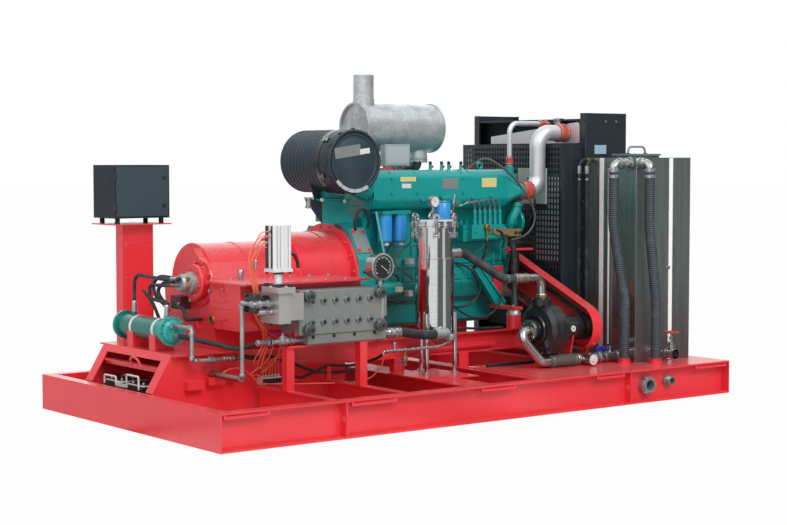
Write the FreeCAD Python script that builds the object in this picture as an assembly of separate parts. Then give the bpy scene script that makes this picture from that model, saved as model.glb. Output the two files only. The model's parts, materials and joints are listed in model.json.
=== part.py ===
import FreeCAD, Part
import math
import os

from FreeCAD import Vector

os.makedirs("parts", exist_ok=True)

# High-pressure water pump skid: a red welded base that carries a plunger pump, its diesel engine,
# the radiator, a small belt-driven booster pump, a bag filter and a stainless water tank.
# Millimetres. The origin is on the floor under the middle of the base, +X runs along the base from
# the pump end to the radiator end, and -Y is the side with the fluid end.

# Base frame
BASE_LENGTH = 4584.0
BASE_WIDTH = 2440.0
BASE_HEIGHT = 250.0
FLANGE_REACH = 80.0
FLANGE_THICKNESS = 13.0
WEB_THICKNESS = 10.0
FLOOR_TOP = 60.0
FLOOR_THICKNESS = 5.0
BEAM_FLANGE_THICKNESS = 10.0
BEAM_WEB = 8.0
DECK_THICKNESS = 8.0
FILTER_PLATE_X = (-310.0, 130.0)
FILTER_PLATE_Y = (-790.0, -290.0)
DECK_LEFT_X = 430.0
DECK_FAR_Y = -300.0
LUG_THICKNESS = 12.0
LUG_HOLE_RADIUS = 20.0
LUG_EDGE_GAP = 6.0
LUGS_X = (-1340.0, 1235.0)
BAR_RADIUS = 11.0
BAR_DROP = 22.0
END_BAR_INSET = 26.0
END_BAR_LENGTH = 340.0
MIDDLE_BARS = ((-1295.0, -925.0), (-195.0, 115.0), (895.0, 1175.0))
POST_BEAMS = ((-1385.0, 60.0), (-815.0, 70.0))
REAR_ENGINE_BEAM = (-170.0, 240.0)
FRONT_ENGINE_BEAM = (440.0, 120.0)
DECK_BEAMS = ((1290.0, 80.0), (1900.0, 80.0))
DRAIN_X = 1440.0
DRAIN_Z = 125.0
DRAIN_BORE = 40.0
DRAIN_BOSS = 65.0
FILL_X = 1670.0
FILL_Z = 140.0
FILL_BORE = 25.0
FILL_PIPE = 30.0
FILL_BOSS = 43.0

# Pedestal under the pump and rails under the engine
PEDESTAL_HEIGHT = 500.0
PEDESTAL_FOOT_X = -2190.0
PEDESTAL_TOP_X = -2040.0
PEDESTAL_END_X = -620.0
PEDESTAL_NEAR_Y = -200.0
PEDESTAL_FAR_Y = 748.0
PEDESTAL_PLATE = 10.0
PEDESTAL_LIP = 60.0
BAY_STRIP = 95.0
BAY_HEADER_DROP = 48.0
STOP_BLOCKS = ((-1950.0, 258.0), (-1785.0, 280.0))
STOP_LENGTH = 130.0
STOP_DEPTH = 58.0
STOP_HEIGHT = 56.0
RAIL_HEIGHT = 150.0
RAIL_FLANGE = 60.0
RAIL_END_X = 1290.0
RAIL_FOOT_LENGTH = 90.0

# Batteries
BATTERY_LENGTH = 220.0
BATTERY_WIDTH = 245.0
BATTERY_HEIGHT = 200.0
BATTERY_GAP = 60.0
BATTERY_LEFT_X = -2125.0
BATTERY_NEAR_Y = 40.0

# Control box on its post
POST_WIDTH = 250.0
POST_DEPTH = 100.0
POST_X = -1695.0
POST_NEAR_Y = 870.0
POST_TOP = 1327.0
POST_PLATE = 8.0
BOX_LENGTH = 446.0
BOX_DEPTH = 320.0
BOX_HEIGHT = 382.0
BOX_FOOT_HEIGHT = 40.0
BOX_FOOT_RADIUS = 18.0

# Shaft line shared by pump, coupling housing and engine
SHAFT_Y = 270.0
SHAFT_Z = 930.0

# Pump power end
CASE_LEFT_X = -1660.0
CASE_RIGHT_X = -900.0
GEAR_RADIUS = 280.0
GEAR_LEFT_X = -1600.0
CROSSHEAD_LEFT_X = -1690.0
CROSSHEAD_RIGHT_X = -700.0
CROSSHEAD_FRONT_Y = -500.0
CROSSHEAD_BOTTOM = 655.0
CROSSHEAD_TOP = 965.0
COVER_THICKNESS = 12.0
COVER_OVERHANG = 95.0
CAP_Y = 50.0
CAP_Z = 955.0
CAP_RADIUS = 118.0
CAP_LENGTH = 70.0
LUBE_RADIUS = 62.0
LUBE_LENGTH = 105.0
VALVE_BLOCK_DEPTH = 80.0
VALVE_BLOCK_Z = (760.0, 850.0)
CASE_PORT_Z = 700.0

# Coupling housing between pump and engine
BELL_RADIUS = 340.0
BELL_FLANGE_RADIUS = 398.0
BELL_FLANGE_THICKNESS = 26.0
BELL_WALL = 12.0
ENGINE_REAR_X = -440.0

# Fluid end
FLUID_LEFT_X = -1366.0
FLUID_RIGHT_X = -683.0
FLUID_DEPTH = 222.0
FLUID_BOTTOM = 628.0
FLUID_TOP = 925.0
PLUG_COLUMNS = 6
PLUG_PITCH = 97.0
PLUG_FIRST_X = -1266.0
PLUG_UPPER_Z = 852.0
PLUG_LOWER_Z = 708.0
PLUG_RADIUS = 26.0
PLUG_PROUD = 9.0
PLUG_SOCKET = 11.0
GLAND_RADIUS = 40.0
GLAND_LENGTH = 46.0
GLAND_INSET = 20.0
GAUGE_Z = 1065.0
GAUGE_RADIUS = 93.0
GAUGE_DEPTH = 84.0
MANIFOLD_HEIGHT = 72.0
MANIFOLD_DEPTH = 120.0
MANIFOLD_FRONT_INSET = 12.0
MANIFOLD_LEFT_X = -1296.0
MANIFOLD_RIGHT_X = -640.0
POST_BAR = 60.0
MANIFOLD_POSTS = ((-1392.0, -620.0), (-830.0, -680.0))
SHELF_THICKNESS = 14.0

# Discharge block with the air-operated unloader on top
DISCHARGE_LEFT_X = -1578.0
DISCHARGE_RIGHT_X = -1482.0
DISCHARGE_FRONT_Y = -790.0
DISCHARGE_BACK_Y = -560.0
DISCHARGE_BOTTOM = 722.0
DISCHARGE_TOP = 925.0
DISCHARGE_FLANGE = 38.0
DISCHARGE_FLANGE_EDGE = 22.0
ACTUATOR_WIDTH = 150.0
ACTUATOR_DEPTH = 118.0
ACTUATOR_BOTTOM = 1062.0
ACTUATOR_TOP = 1368.0
ACTUATOR_ROD = 26.0
SOLENOID_X = (-1370.0, -1210.0)
SOLENOID_Z = (252.0, 300.0)
SOLENOID_DEPTH = 62.0
AIR_TUBES = 3
AIR_TUBE_RADIUS = 4.0
AIR_TUBE_PITCH = 28.0

# Oil cooler across the left end of the pedestal
COOLER_X = -1948.0
COOLER_Z = 640.0
COOLER_NEAR_Y = -78.0
COOLER_FAR_Y = 632.0
COOLER_TUBE_RADIUS = 77.0
COOLER_FLANGE_RADIUS = 100.0
COOLER_FLANGE_THICKNESS = 22.0
COOLER_NEAR_PORT = 100.0
COOLER_FAR_PORT = 164.0
COOLER_PORT_RADIUS = 20.0
COOLER_PORT_HEIGHT = 22.0
SADDLE_WIDTH = 80.0
SADDLE_LENGTH = 150.0
SADDLES_Y = (95.0, 400.0)

# Engine
ENGINE_FRONT_X = 1060.0
FLYWHEEL_HOUSING = 150.0
BLOCK_HALF_WIDTH = 235.0
SKIRT_HALF_WIDTH = 280.0
BLOCK_BOTTOM = 760.0
BLOCK_TOP = 1450.0
HEADS = 6
HEAD_PITCH = 205.0
HEAD_GAP = 14.0
HEAD_HEIGHT = 125.0
HEAD_HALF_WIDTH = 195.0
ROCKER_HEIGHT = 115.0
ROCKER_HALF_WIDTH = 120.0
INTAKE_WIDTH = 190.0
INTAKE_BOTTOM = 1425.0
INTAKE_TOP = 1718.0
INTAKE_LEFT_X = -300.0
INTAKE_RIGHT_X = 985.0
INTAKE_NECK_X = 1140.0
INTAKE_ROUNDING = 60.0
CHARGE_PIPE_RADIUS = 62.0
CHARGE_Y = -95.0
INTAKE_NECK_Z = 1556.0
SUMP_BOTTOM = 540.0
SUMP_HALF_WIDTH = 170.0
OIL_FILTER_RADIUS = 53.0
OIL_FILTER_LENGTH = 212.0
OIL_FILTERS_X = (-185.0, -47.0)
OIL_FILTER_Y = -95.0
OIL_FILTER_BOTTOM = 1188.0
FUEL_FILTER_X = 353.0
FUEL_FILTER_RADIUS = 60.0
FUEL_FILTER_LENGTH = 150.0
INJECTION_X = (560.0, 900.0)
INJECTION_Z = (1175.0, 1300.0)
INJECTION_DEPTH = 130.0
GOVERNOR_LENGTH = 100.0
GOVERNOR_RADIUS = 62.0
STARTER_Z = 842.0
STARTER_RADIUS = 62.0
STARTER_LENGTH = 250.0
COOLANT_X = 1197.0
COOLANT_Y = 105.0
COOLANT_FLANGE_Z = 1745.0
COOLANT_RADIUS = 20.0
COOLANT_TOP_Z = 2078.0
CHARGE_BEND_X = 1312.0
CHARGE_TOP_Z = 2004.0
MOUNT_RADIUS = 55.0
MOUNT_CUP_HEIGHT = 105.0
MOUNTS_X = (-370.0, 962.0)

# Muffler, stack, air cleaner and junction box above the engine
MUFFLER_LEFT_X = -105.0
MUFFLER_RIGHT_X = 636.0
MUFFLER_Y = 400.0
MUFFLER_Z = 2036.0
MUFFLER_RADIUS = 183.0
MUFFLER_RIM = 7.0
STACK_X = -13.0
STACK_RADIUS = 78.0
STACK_WALL = 4.0
STACK_TOP = 2432.0
STACK_COLLAR = 4.0
STACK_COLLAR_TOP = 2250.0
EXHAUST_X = 500.0
EXHAUST_RADIUS = 66.0
RISER_RADIUS = 38.0
RISER_BEND = 42.0
CLEANER_X = -540.0
CLEANER_Z = 1782.0
CLEANER_RADIUS = 228.0
CLEANER_FRONT_Y = -200.0
CLEANER_BACK_Y = 430.0
CLEANER_STEP = 4.0
BRACKET_Y = (60.0, 180.0)
GUSSET_THICKNESS = 12.0
JUNCTION_X = 91.0
JUNCTION_WIDTH = 230.0
JUNCTION_DEPTH = 55.0
JUNCTION_BOTTOM = 1745.0
JUNCTION_HEIGHT = 160.0

# Radiator pack
RADIATOR_FACE_X = 1600.0
RADIATOR_BACK_X = 2045.0
RADIATOR_NEAR_Y = -330.0
RADIATOR_FAR_Y = 1015.0
RADIATOR_TOP = 2158.0
RADIATOR_SHEET = 6.0
RADIATOR_LIP = 60.0
TOP_BAR_Z = 2100.0
HEADER_BOTTOM = 1923.0
HEADER_NEAR_Y = -262.0
HEADER_FAR_Y = 800.0
HEADER_NEAR_TOP = 2088.0
HEADER_FAR_TOP = 1982.0
HEADER_THICKNESS = 68.0
CORE_THICKNESS = 200.0
CORE_BOTTOM = 420.0
CORE_TOP = 2104.0
SHROUD_FACE_X = 1388.0
SHROUD_NEAR_Y = -298.0
SHROUD_BOTTOM = 690.0
SHROUD_TOP = 1915.0
SHROUD_FAR_Y = 905.0
SHROUD_WALL = 4.0
GUARD_THICKNESS = 3.0
FAN_BLADES = 8
FAN_RADIUS = 560.0
FAN_CHORD = 140.0
FAN_PITCH = 35.0
FAN_SHAFT_RADIUS = 38.0
FAN_HUB_RADIUS = 95.0

# Booster pump and its belt drive
BOOSTER_Y = -650.0
BOOSTER_Z = 530.0
BOOSTER_FACE_X = 742.0
VOLUTE_RADIUS = 200.0
VOLUTE_LEFT_X = 812.0
VOLUTE_RIGHT_X = 940.0
BEARING_RADIUS = 92.0
BEARING_RIGHT_X = 1215.0
OUTLET_HEIGHT = 228.0
OUTLET_RADIUS = 75.0
STAND_X = (780.0, 1190.0)
STAND_FOOT_X = 1110.0
STAND_SHEET = 12.0
CRADLE_X = (850.0, 900.0)
PULLEY_RADIUS = 98.0
BELT_LEFT_X = 1240.0
BELT_RIGHT_X = 1296.0
BELT_THICKNESS = 12.0
BELT_GUARD_RADIUS = 170.0
BELT_GUARD_PLATE_X = 1318.0
BELT_GUARD_SHEET = 4.0
BELT_GUARD_RIM = 92.0

# Suction line from the tank to the booster pump
LINE_Y = -733.0
LINE_Z = 298.0
LINE_RADIUS = 36.0
RUBBER_RADIUS = 42.0
TEE_X = 1200.0
TEE_BRANCH = 115.0
VALVE_X = 1490.0
VALVE_BODY_RADIUS = 36.0
STEM_RADIUS = 9.0
WATER_PIPE_RADIUS = 30.0
WATER_HOSE_RADIUS = 33.0
DELIVERY_Z = 922.0
DELIVERY_END_X = 600.0
OUTLET_Z = 558.0
OUTLET_REACH = 120.0
OUTLET_BEND = 33.0
FILTER_INLET_Z = 1116.0
LEVER_LENGTH = 150.0
LEVER_WIDTH = 22.0
LEVER_THICKNESS = 6.0
LEVER_Z = 352.0
DRAIN_PIPE_X = -1735.0
DRAIN_PIPE_Y = -590.0
DRAIN_PIPE_TOP = 856.0
DRAIN_PIPE_DROP = 500.0
DRAIN_PIPE_RADIUS = 14.0
RETURN_REACH = 212.0
RETURN_DROP = 220.0
RETURN_END_X = -1640.0

# Water tank
TANK_LEFT_X = 1600.0
TANK_RIGHT_X = 2190.0
TANK_NEAR_Y = -890.0
TANK_FAR_Y = -345.0
TANK_BOTTOM = 250.0
TANK_TOP = 1806.0
TANK_WALL = 3.0
ROOF_THICKNESS = 4.0
LID_LENGTH = 270.0
LID_WIDTH = 270.0
LID_THICKNESS = 14.0
LID_OVERHANG = 12.0
HATCH_COLLAR = 16.0
GRIP_HEIGHT = 54.0
TANK_HOSE_RADIUS = 39.0
TANK_PORT_Z = 1765.0
TANK_LINE_Z = 1790.0
TANK_LINE_REACH = 100.0
TANK_LINES_Y = (-370.0, -455.0)
ELBOW_RADIUS = 34.0
SOCKET_HEIGHT = 26.0
SOCKET_RADIUS = 47.0
HOSE_TOPS = ((1424.0, -826.0), (1640.0, -991.0))
HOSE_SOCKETS = ((1508.0, -868.0), (1690.0, -1020.0))

# Gate valve on the tank
GATE_X = 1878.0
GATE_Z = 312.0
GATE_BODY_RADIUS = 36.0
GATE_BODY_LENGTH = 96.0
GATE_WHEEL_Z = 470.0
GATE_WHEEL_RADIUS = 60.0
GATE_RIM_RADIUS = 6.0
GATE_BORE = 21.0

# Bag filter
FILTER_X = -20.0
FILTER_Y = -470.0
FILTER_RADIUS = 140.0
FILTER_BOTTOM = 535.0
FILTER_SEAM = 1093.0
FILTER_TOP = 1340.0
FILTER_LID = 28.0
FILTER_NECK = 9.0
FILTER_NIPPLE = 85.0
FILTER_LEG_RADIUS = 17.0
FILTER_LEG_CIRCLE = 150.0
FILTER_LEG_ANGLES = (90.0, 210.0, 330.0)

SEAT = 0.3
AXIS = {"X": Vector(1, 0, 0), "Y": Vector(0, 1, 0), "Z": Vector(0, 0, 1)}


def box(x, y, z):
    """A block between a low and a high value on each axis."""
    size = (x[1] - x[0], y[1] - y[0], z[1] - z[0])
    return Part.makeBox(*size, Vector(x[0], y[0], z[0]))


def rod(axis, start, length, radius):
    """A round bar from start along +X, +Y or +Z, or back along it if the length is negative."""
    direction = AXIS[axis] * (1 if length > 0 else -1)
    return Part.makeCylinder(radius, abs(length), Vector(*start), direction)


def tube(axis, start, length, outer, inner):
    return rod(axis, start, length, outer).cut(rod(axis, start, length, inner))


def place(axis, along, pair):
    """A point of an outline across an axis: (y, z) across X, (x, z) across Y, (x, y) across Z."""
    if axis == "X":
        return Vector(along, pair[0], pair[1])
    if axis == "Y":
        return Vector(pair[0], along, pair[1])
    return Vector(pair[0], pair[1], along)


def prism(axis, low, high, outline):
    """An outline across an axis, extruded from low to high."""
    corners = [place(axis, low, pair) for pair in outline]
    face = Part.Face(Part.makePolygon(corners + corners[:1]))
    return face.extrude(AXIS[axis] * (high - low))


def fuse(first, *others):
    return first.multiFuse(list(others)).removeSplitter() if others else first


def turned(axis, start, profile):
    """A solid of revolution: (distance along the axis, radius) pairs, closed back along the axis."""
    side = {"X": AXIS["Z"], "Y": AXIS["Z"], "Z": AXIS["X"]}[axis]
    base = Vector(*start)
    corners = [base + AXIS[axis] * along + side * radius for along, radius in profile]
    face = Part.Face(Part.makePolygon(corners + corners[:1]))
    return face.revolve(base, AXIS[axis], 360)


def channel(axis, low, high, back, reach, bottom, top, flange, web):
    """A C section whose web is at back and whose flanges reach from it by a signed distance."""
    sign = 1 if reach > 0 else -1
    tip, inner = back + reach, back + sign * web
    outline = [(back, bottom), (tip, bottom), (tip, bottom + flange), (inner, bottom + flange),
               (inner, top - flange), (tip, top - flange), (tip, top), (back, top)]
    return prism(axis, low, high, outline)


def i_beam(x, width, bottom, top, low, high):
    """An I section that runs along Y."""
    half, web = width / 2, BEAM_WEB / 2
    flange = BEAM_FLANGE_THICKNESS
    outline = [(x - half, bottom), (x + half, bottom), (x + half, bottom + flange),
               (x + web, bottom + flange), (x + web, top - flange), (x + half, top - flange),
               (x + half, top), (x - half, top), (x - half, top - flange),
               (x - web, top - flange), (x - web, bottom + flange), (x - half, bottom + flange)]
    return prism("Y", low, high, outline)


def bent_path(points, bend=None):
    """Straight runs joined by tangent arcs of one radius, or as large as each two runs allow."""
    corners = [Vector(*point) for point in points]
    edges, start = [], corners[0]
    for before, corner, after in zip(corners, corners[1:], corners[2:]):
        back, ahead = before - corner, after - corner
        shorter = min(back.Length, ahead.Length)
        back.normalize()
        ahead.normalize()
        turn = math.pi - back.getAngle(ahead)
        setback = 0.45 * shorter if bend is None else bend * math.tan(turn / 2)
        radius = setback / math.tan(turn / 2)
        first, last = corner + back * setback, corner + ahead * setback
        middle = back + ahead
        middle.normalize()
        peak = corner + middle * (radius / math.cos(turn / 2) - radius)
        if (first - start).Length > 0.01:
            edges.append(Part.LineSegment(start, first).toShape())
        edges.append(Part.Arc(first, peak, last).toShape())
        start = last
    edges.append(Part.LineSegment(start, corners[-1]).toShape())
    return Part.Wire(edges)


def bent_rod(points, radius, bend=None):
    """A round section swept along a bent path."""
    path = bent_path(points, bend)
    start, ahead = Vector(*points[0]), Vector(*points[1]) - Vector(*points[0])
    section = Part.Wire(Part.makeCircle(radius, start, ahead))
    return path.makePipeShell([section], True, True)


def export(name, *solids):
    """One node: its solids stay apart where they don't touch."""
    shape = solids[0] if len(solids) == 1 else Part.makeCompound(list(solids))
    shape.exportStep("parts/" + name + ".step")


# Base frame

half_length, half_width = BASE_LENGTH / 2, BASE_WIDTH / 2
web_inner = half_width - FLANGE_REACH
web_outer = web_inner + WEB_THICKNESS
end_inner = half_length - WEB_THICKNESS
lashing_bars = ((-half_length + END_BAR_INSET, -half_length + END_BAR_INSET + END_BAR_LENGTH),
                *MIDDLE_BARS,
                (half_length - END_BAR_INSET - END_BAR_LENGTH, half_length - END_BAR_INSET))


def side_member(side):
    """A long channel, flanges outwards, with lifting lugs and lashing bars under its top flange."""
    outline_back = side * web_inner
    member = channel("X", -end_inner, end_inner, outline_back, side * FLANGE_REACH,
                     0, BASE_HEIGHT, FLANGE_THICKNESS, WEB_THICKNESS)
    pieces = []
    lug_y = sorted((side * web_outer, side * (half_width - LUG_EDGE_GAP)))
    hole_y = side * (web_outer + half_width) / 2
    for x in LUGS_X:
        lug = box((x, x + LUG_THICKNESS), lug_y,
                  (FLANGE_THICKNESS, BASE_HEIGHT - FLANGE_THICKNESS))
        pieces.append(lug.cut(rod("X", (x, hole_y, BASE_HEIGHT / 2), LUG_THICKNESS,
                                  LUG_HOLE_RADIUS)))
    bar_y = side * (half_width - BAR_RADIUS - 4)
    bar_z = BASE_HEIGHT - FLANGE_THICKNESS - BAR_DROP
    for low, high in lashing_bars:
        pieces.append(rod("X", (low, bar_y, bar_z), high - low, BAR_RADIUS))
        for x in (low + BAR_RADIUS, high - BAR_RADIUS):
            pieces.append(rod("Z", (x, bar_y, bar_z), BAR_DROP + 1, BAR_RADIUS - 1))
    return fuse(member, *pieces)


near_member = side_member(-1)
for x, z, radius in ((DRAIN_X, DRAIN_Z, DRAIN_BORE), (FILL_X, FILL_Z, FILL_BORE)):
    near_member = near_member.cut(rod("Y", (x, -web_outer - 1, z), WEB_THICKNESS + 2, radius))
export("side_channels", near_member, side_member(1))

drain = tube("Y", (DRAIN_X, -web_outer, DRAIN_Z), -46, DRAIN_BOSS, DRAIN_BORE)
drain = fuse(drain, tube("Y", (DRAIN_X, -web_outer - 46, DRAIN_Z), -14, DRAIN_BOSS - 9, DRAIN_BORE))
fill = tube("Y", (FILL_X, -web_outer, FILL_Z), -22, FILL_BOSS, FILL_BORE)
fill = fuse(fill, tube("Y", (FILL_X, -web_outer - 22, FILL_Z), -44, FILL_PIPE, FILL_BORE))
export("water_ports", drain, fill)

end_members = []
for side in (-1, 1):
    web_x = sorted((side * end_inner, side * half_length))
    flange_x = sorted((side * end_inner, side * (half_length - FLANGE_REACH)))
    member = box(web_x, (-half_width, half_width), (0, BASE_HEIGHT))
    for z in (0, BASE_HEIGHT - FLANGE_THICKNESS):
        member = fuse(member, box(flange_x, (-web_inner, web_inner), (z, z + FLANGE_THICKNESS)))
    end_members.append(member)
export("end_channels", *end_members)

export("floor_plate", box((-end_inner, end_inner), (-web_inner, web_inner),
                          (FLOOR_TOP - FLOOR_THICKNESS, FLOOR_TOP)))

deck_low = BASE_HEIGHT - DECK_THICKNESS
near_y, far_y = PEDESTAL_NEAR_Y - PEDESTAL_LIP, PEDESTAL_FAR_Y + PEDESTAL_LIP
beams = []
for x, width in POST_BEAMS:
    beams.append(i_beam(x, width, FLOOR_TOP, BASE_HEIGHT, -web_inner, near_y))
    beams.append(i_beam(x, width, FLOOR_TOP, BASE_HEIGHT, far_y, web_inner))
beams.append(i_beam(*REAR_ENGINE_BEAM, FLOOR_TOP, BASE_HEIGHT, -web_inner, web_inner))
for x, width in (FRONT_ENGINE_BEAM, *DECK_BEAMS):
    beams.append(i_beam(x, width, FLOOR_TOP, deck_low, -web_inner, web_inner))

# The two posts under the suction manifold stand on the first two beams
manifold_bottom = FLUID_BOTTOM - MANIFOLD_HEIGHT
half_post = POST_BAR / 2
for index, (x, y) in enumerate(MANIFOLD_POSTS):
    beyond = x + half_post < MANIFOLD_LEFT_X
    top = manifold_bottom - SHELF_THICKNESS if beyond else manifold_bottom
    post = box((x - half_post, x + half_post), (y - half_post, y + half_post), (BASE_HEIGHT, top))
    if beyond:
        shelf = box((x - half_post, MANIFOLD_LEFT_X + POST_BAR),
                    (y - half_post - 20, y + half_post), (top, manifold_bottom))
        post = fuse(post, shelf)
    beams[2 * index] = fuse(beams[2 * index], post)
export("cross_beams", *beams)

# Deck plates: one under the filter, one under booster pump, tank and radiator
filter_plate = box(FILTER_PLATE_X, FILTER_PLATE_Y, (BASE_HEIGHT, BASE_HEIGHT + DECK_THICKNESS))
deck_right = half_length - FLANGE_REACH
tank_deck = box((DECK_LEFT_X, deck_right), (-web_inner, DECK_FAR_Y), (deck_low, BASE_HEIGHT))
radiator_deck = box((RADIATOR_FACE_X - 40, deck_right), (DECK_FAR_Y, web_inner),
                    (deck_low, BASE_HEIGHT))
sockets = [rod("Z", (x, y, BASE_HEIGHT), SOCKET_HEIGHT, SOCKET_RADIUS)
           for x, y in HOSE_SOCKETS]
export("deck_plates", filter_plate, fuse(tank_deck, radiator_deck, *sockets))

# Pedestal

side_outline = [(PEDESTAL_FOOT_X, FLOOR_TOP), (PEDESTAL_FOOT_X, BASE_HEIGHT),
                (PEDESTAL_TOP_X, PEDESTAL_HEIGHT), (PEDESTAL_END_X, PEDESTAL_HEIGHT),
                (PEDESTAL_END_X, FLOOR_TOP)]
slope_run = (PEDESTAL_TOP_X - PEDESTAL_FOOT_X) / (PEDESTAL_HEIGHT - BASE_HEIGHT)
slope_sheet = PEDESTAL_PLATE * math.sqrt(1 + slope_run ** 2)


def slope_x(z):
    """The outer face of the sloping end at a height."""
    return PEDESTAL_TOP_X - (PEDESTAL_HEIGHT - z) * slope_run


slope = [(slope_x(BASE_HEIGHT), BASE_HEIGHT), (slope_x(PEDESTAL_HEIGHT), PEDESTAL_HEIGHT),
         (slope_x(PEDESTAL_HEIGHT) + slope_sheet, PEDESTAL_HEIGHT),
         (slope_x(BASE_HEIGHT) + slope_sheet, BASE_HEIGHT)]
slope_plate = prism("Y", PEDESTAL_NEAR_Y, PEDESTAL_FAR_Y, slope)
bay = box((PEDESTAL_FOOT_X - 1, PEDESTAL_TOP_X + 20),
          (PEDESTAL_NEAR_Y + BAY_STRIP, PEDESTAL_FAR_Y - BAY_STRIP),
          (BASE_HEIGHT - 1, PEDESTAL_HEIGHT - BAY_HEADER_DROP))
pedestal = [slope_plate.cut(bay)]
for low, side in ((PEDESTAL_NEAR_Y, -1), (PEDESTAL_FAR_Y - PEDESTAL_PLATE, 1)):
    pedestal.append(prism("Y", low, low + PEDESTAL_PLATE, side_outline))
    edge = low if side < 0 else low + PEDESTAL_PLATE
    lip_y = sorted((edge, edge + side * PEDESTAL_LIP))
    pedestal.append(box((PEDESTAL_TOP_X, PEDESTAL_END_X), lip_y,
                        (PEDESTAL_HEIGHT - PEDESTAL_PLATE, PEDESTAL_HEIGHT)))
    pedestal.append(box((PEDESTAL_FOOT_X, PEDESTAL_END_X), lip_y,
                        (FLOOR_TOP, FLOOR_TOP + PEDESTAL_PLATE)))
inside_y = (PEDESTAL_NEAR_Y + PEDESTAL_PLATE, PEDESTAL_FAR_Y - PEDESTAL_PLATE)
pedestal.append(box((PEDESTAL_TOP_X + 5, PEDESTAL_END_X), inside_y,
                    (PEDESTAL_HEIGHT - PEDESTAL_PLATE, PEDESTAL_HEIGHT)))
shelf_z = PEDESTAL_HEIGHT - 2 * BAY_HEADER_DROP
shelf_x = slope_x(shelf_z) + slope_sheet - 7
pedestal.append(box((shelf_x, shelf_x + 60), inside_y, (shelf_z - 8, shelf_z)))
pedestal.append(box((shelf_x + 20, shelf_x + 28), inside_y, (shelf_z - 34, shelf_z - 8)))
for x, z in STOP_BLOCKS:
    pedestal.append(box((x, x + STOP_LENGTH), (PEDESTAL_NEAR_Y - STOP_DEPTH, PEDESTAL_NEAR_Y),
                        (z, z + STOP_HEIGHT)))
for y in SADDLES_Y:
    block = box((COOLER_X - SADDLE_LENGTH / 2, COOLER_X + SADDLE_LENGTH / 2),
                (y - SADDLE_WIDTH / 2, y + SADDLE_WIDTH / 2), (PEDESTAL_HEIGHT, COOLER_Z - 30))
    pedestal.append(block.cut(rod("Y", (COOLER_X, y - SADDLE_WIDTH, COOLER_Z),
                                  2 * SADDLE_WIDTH, COOLER_TUBE_RADIUS + SEAT)))
export("pump_pedestal", fuse(*pedestal))

# Rails that carry the engine, on short stools over the cross beams
rail_bottom = PEDESTAL_HEIGHT - RAIL_HEIGHT
rails = []
for side, back in ((-1, PEDESTAL_NEAR_Y + PEDESTAL_PLATE), (1, PEDESTAL_FAR_Y - PEDESTAL_PLATE)):
    rail = channel("X", PEDESTAL_END_X, RAIL_END_X, back, side * RAIL_FLANGE,
                   rail_bottom, PEDESTAL_HEIGHT, BEAM_FLANGE_THICKNESS, BEAM_WEB)
    stool_y = sorted((back, back + side * RAIL_FLANGE))
    for x, bottom in ((REAR_ENGINE_BEAM[0], BASE_HEIGHT), (FRONT_ENGINE_BEAM[0], deck_low),
                      (RAIL_END_X - RAIL_FOOT_LENGTH / 2, deck_low)):
        stool_x = (x - RAIL_FOOT_LENGTH / 2, x + RAIL_FOOT_LENGTH / 2)
        rail = fuse(rail, box(stool_x, stool_y, (bottom, rail_bottom)))
    rails.append(rail)
export("engine_rails", *rails)

# Batteries in the bay under the sloping end

batteries = []
for index in range(2):
    y = BATTERY_NEAR_Y + index * (BATTERY_WIDTH + BATTERY_GAP)
    battery_x = (BATTERY_LEFT_X, BATTERY_LEFT_X + BATTERY_LENGTH)
    battery = box(battery_x, (y, y + BATTERY_WIDTH),
                  (FLOOR_TOP, FLOOR_TOP + BATTERY_HEIGHT))
    cap = box((battery_x[0] + 12, battery_x[1] - 12),
              (y + 12, y + BATTERY_WIDTH - 12),
              (FLOOR_TOP + BATTERY_HEIGHT, FLOOR_TOP + BATTERY_HEIGHT + 14))
    batteries.append(fuse(battery, cap))
export("batteries", *batteries)

# Control box on its post behind the pedestal

post = box((POST_X - POST_WIDTH / 2, POST_X + POST_WIDTH / 2),
           (POST_NEAR_Y, POST_NEAR_Y + POST_DEPTH), (FLOOR_TOP, POST_TOP))
box_near = POST_NEAR_Y - 70
plate_y = (box_near, box_near + BOX_DEPTH)
plate = box((POST_X - BOX_LENGTH / 2 - 12, POST_X + BOX_LENGTH / 2 + 12),
            (plate_y[0] - 12, plate_y[1] + 12), (POST_TOP, POST_TOP + POST_PLATE))
export("panel_post", fuse(post, plate))

plate_top = POST_TOP + POST_PLATE
case_bottom = plate_top + BOX_FOOT_HEIGHT
control = box((POST_X - BOX_LENGTH / 2, POST_X + BOX_LENGTH / 2), plate_y,
              (case_bottom, case_bottom + BOX_HEIGHT))
for x in (POST_X - BOX_LENGTH / 2 + 45, POST_X + BOX_LENGTH / 2 - 45):
    for y in (plate_y[0] + 45, plate_y[1] - 45):
        control = fuse(control, rod("Z", (x, y, plate_top), BOX_FOOT_HEIGHT, BOX_FOOT_RADIUS))
export("control_box", control)

# Pump power end

flat_start_y = -110.0
case_back_y = SHAFT_Y + GEAR_RADIUS
body = [(CROSSHEAD_FRONT_Y, CROSSHEAD_BOTTOM), (CROSSHEAD_FRONT_Y, CROSSHEAD_TOP),
        (flat_start_y, CROSSHEAD_TOP), (flat_start_y, CROSSHEAD_BOTTOM)]
crosshead = prism("X", CROSSHEAD_LEFT_X, CROSSHEAD_RIGHT_X, body)
lower = [(PEDESTAL_NEAR_Y + 30, PEDESTAL_HEIGHT), (flat_start_y, CROSSHEAD_BOTTOM),
         (flat_start_y, CROSSHEAD_TOP), (SHAFT_Y - 0.42 * GEAR_RADIUS, SHAFT_Z + 0.9 * GEAR_RADIUS),
         (SHAFT_Y, SHAFT_Z), (case_back_y, SHAFT_Z), (case_back_y - 30, PEDESTAL_HEIGHT)]
gearcase = prism("X", CASE_LEFT_X, CASE_RIGHT_X, lower)
gear_drum = rod("X", (GEAR_LEFT_X, SHAFT_Y, SHAFT_Z), CASE_RIGHT_X - GEAR_LEFT_X, GEAR_RADIUS)
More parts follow.
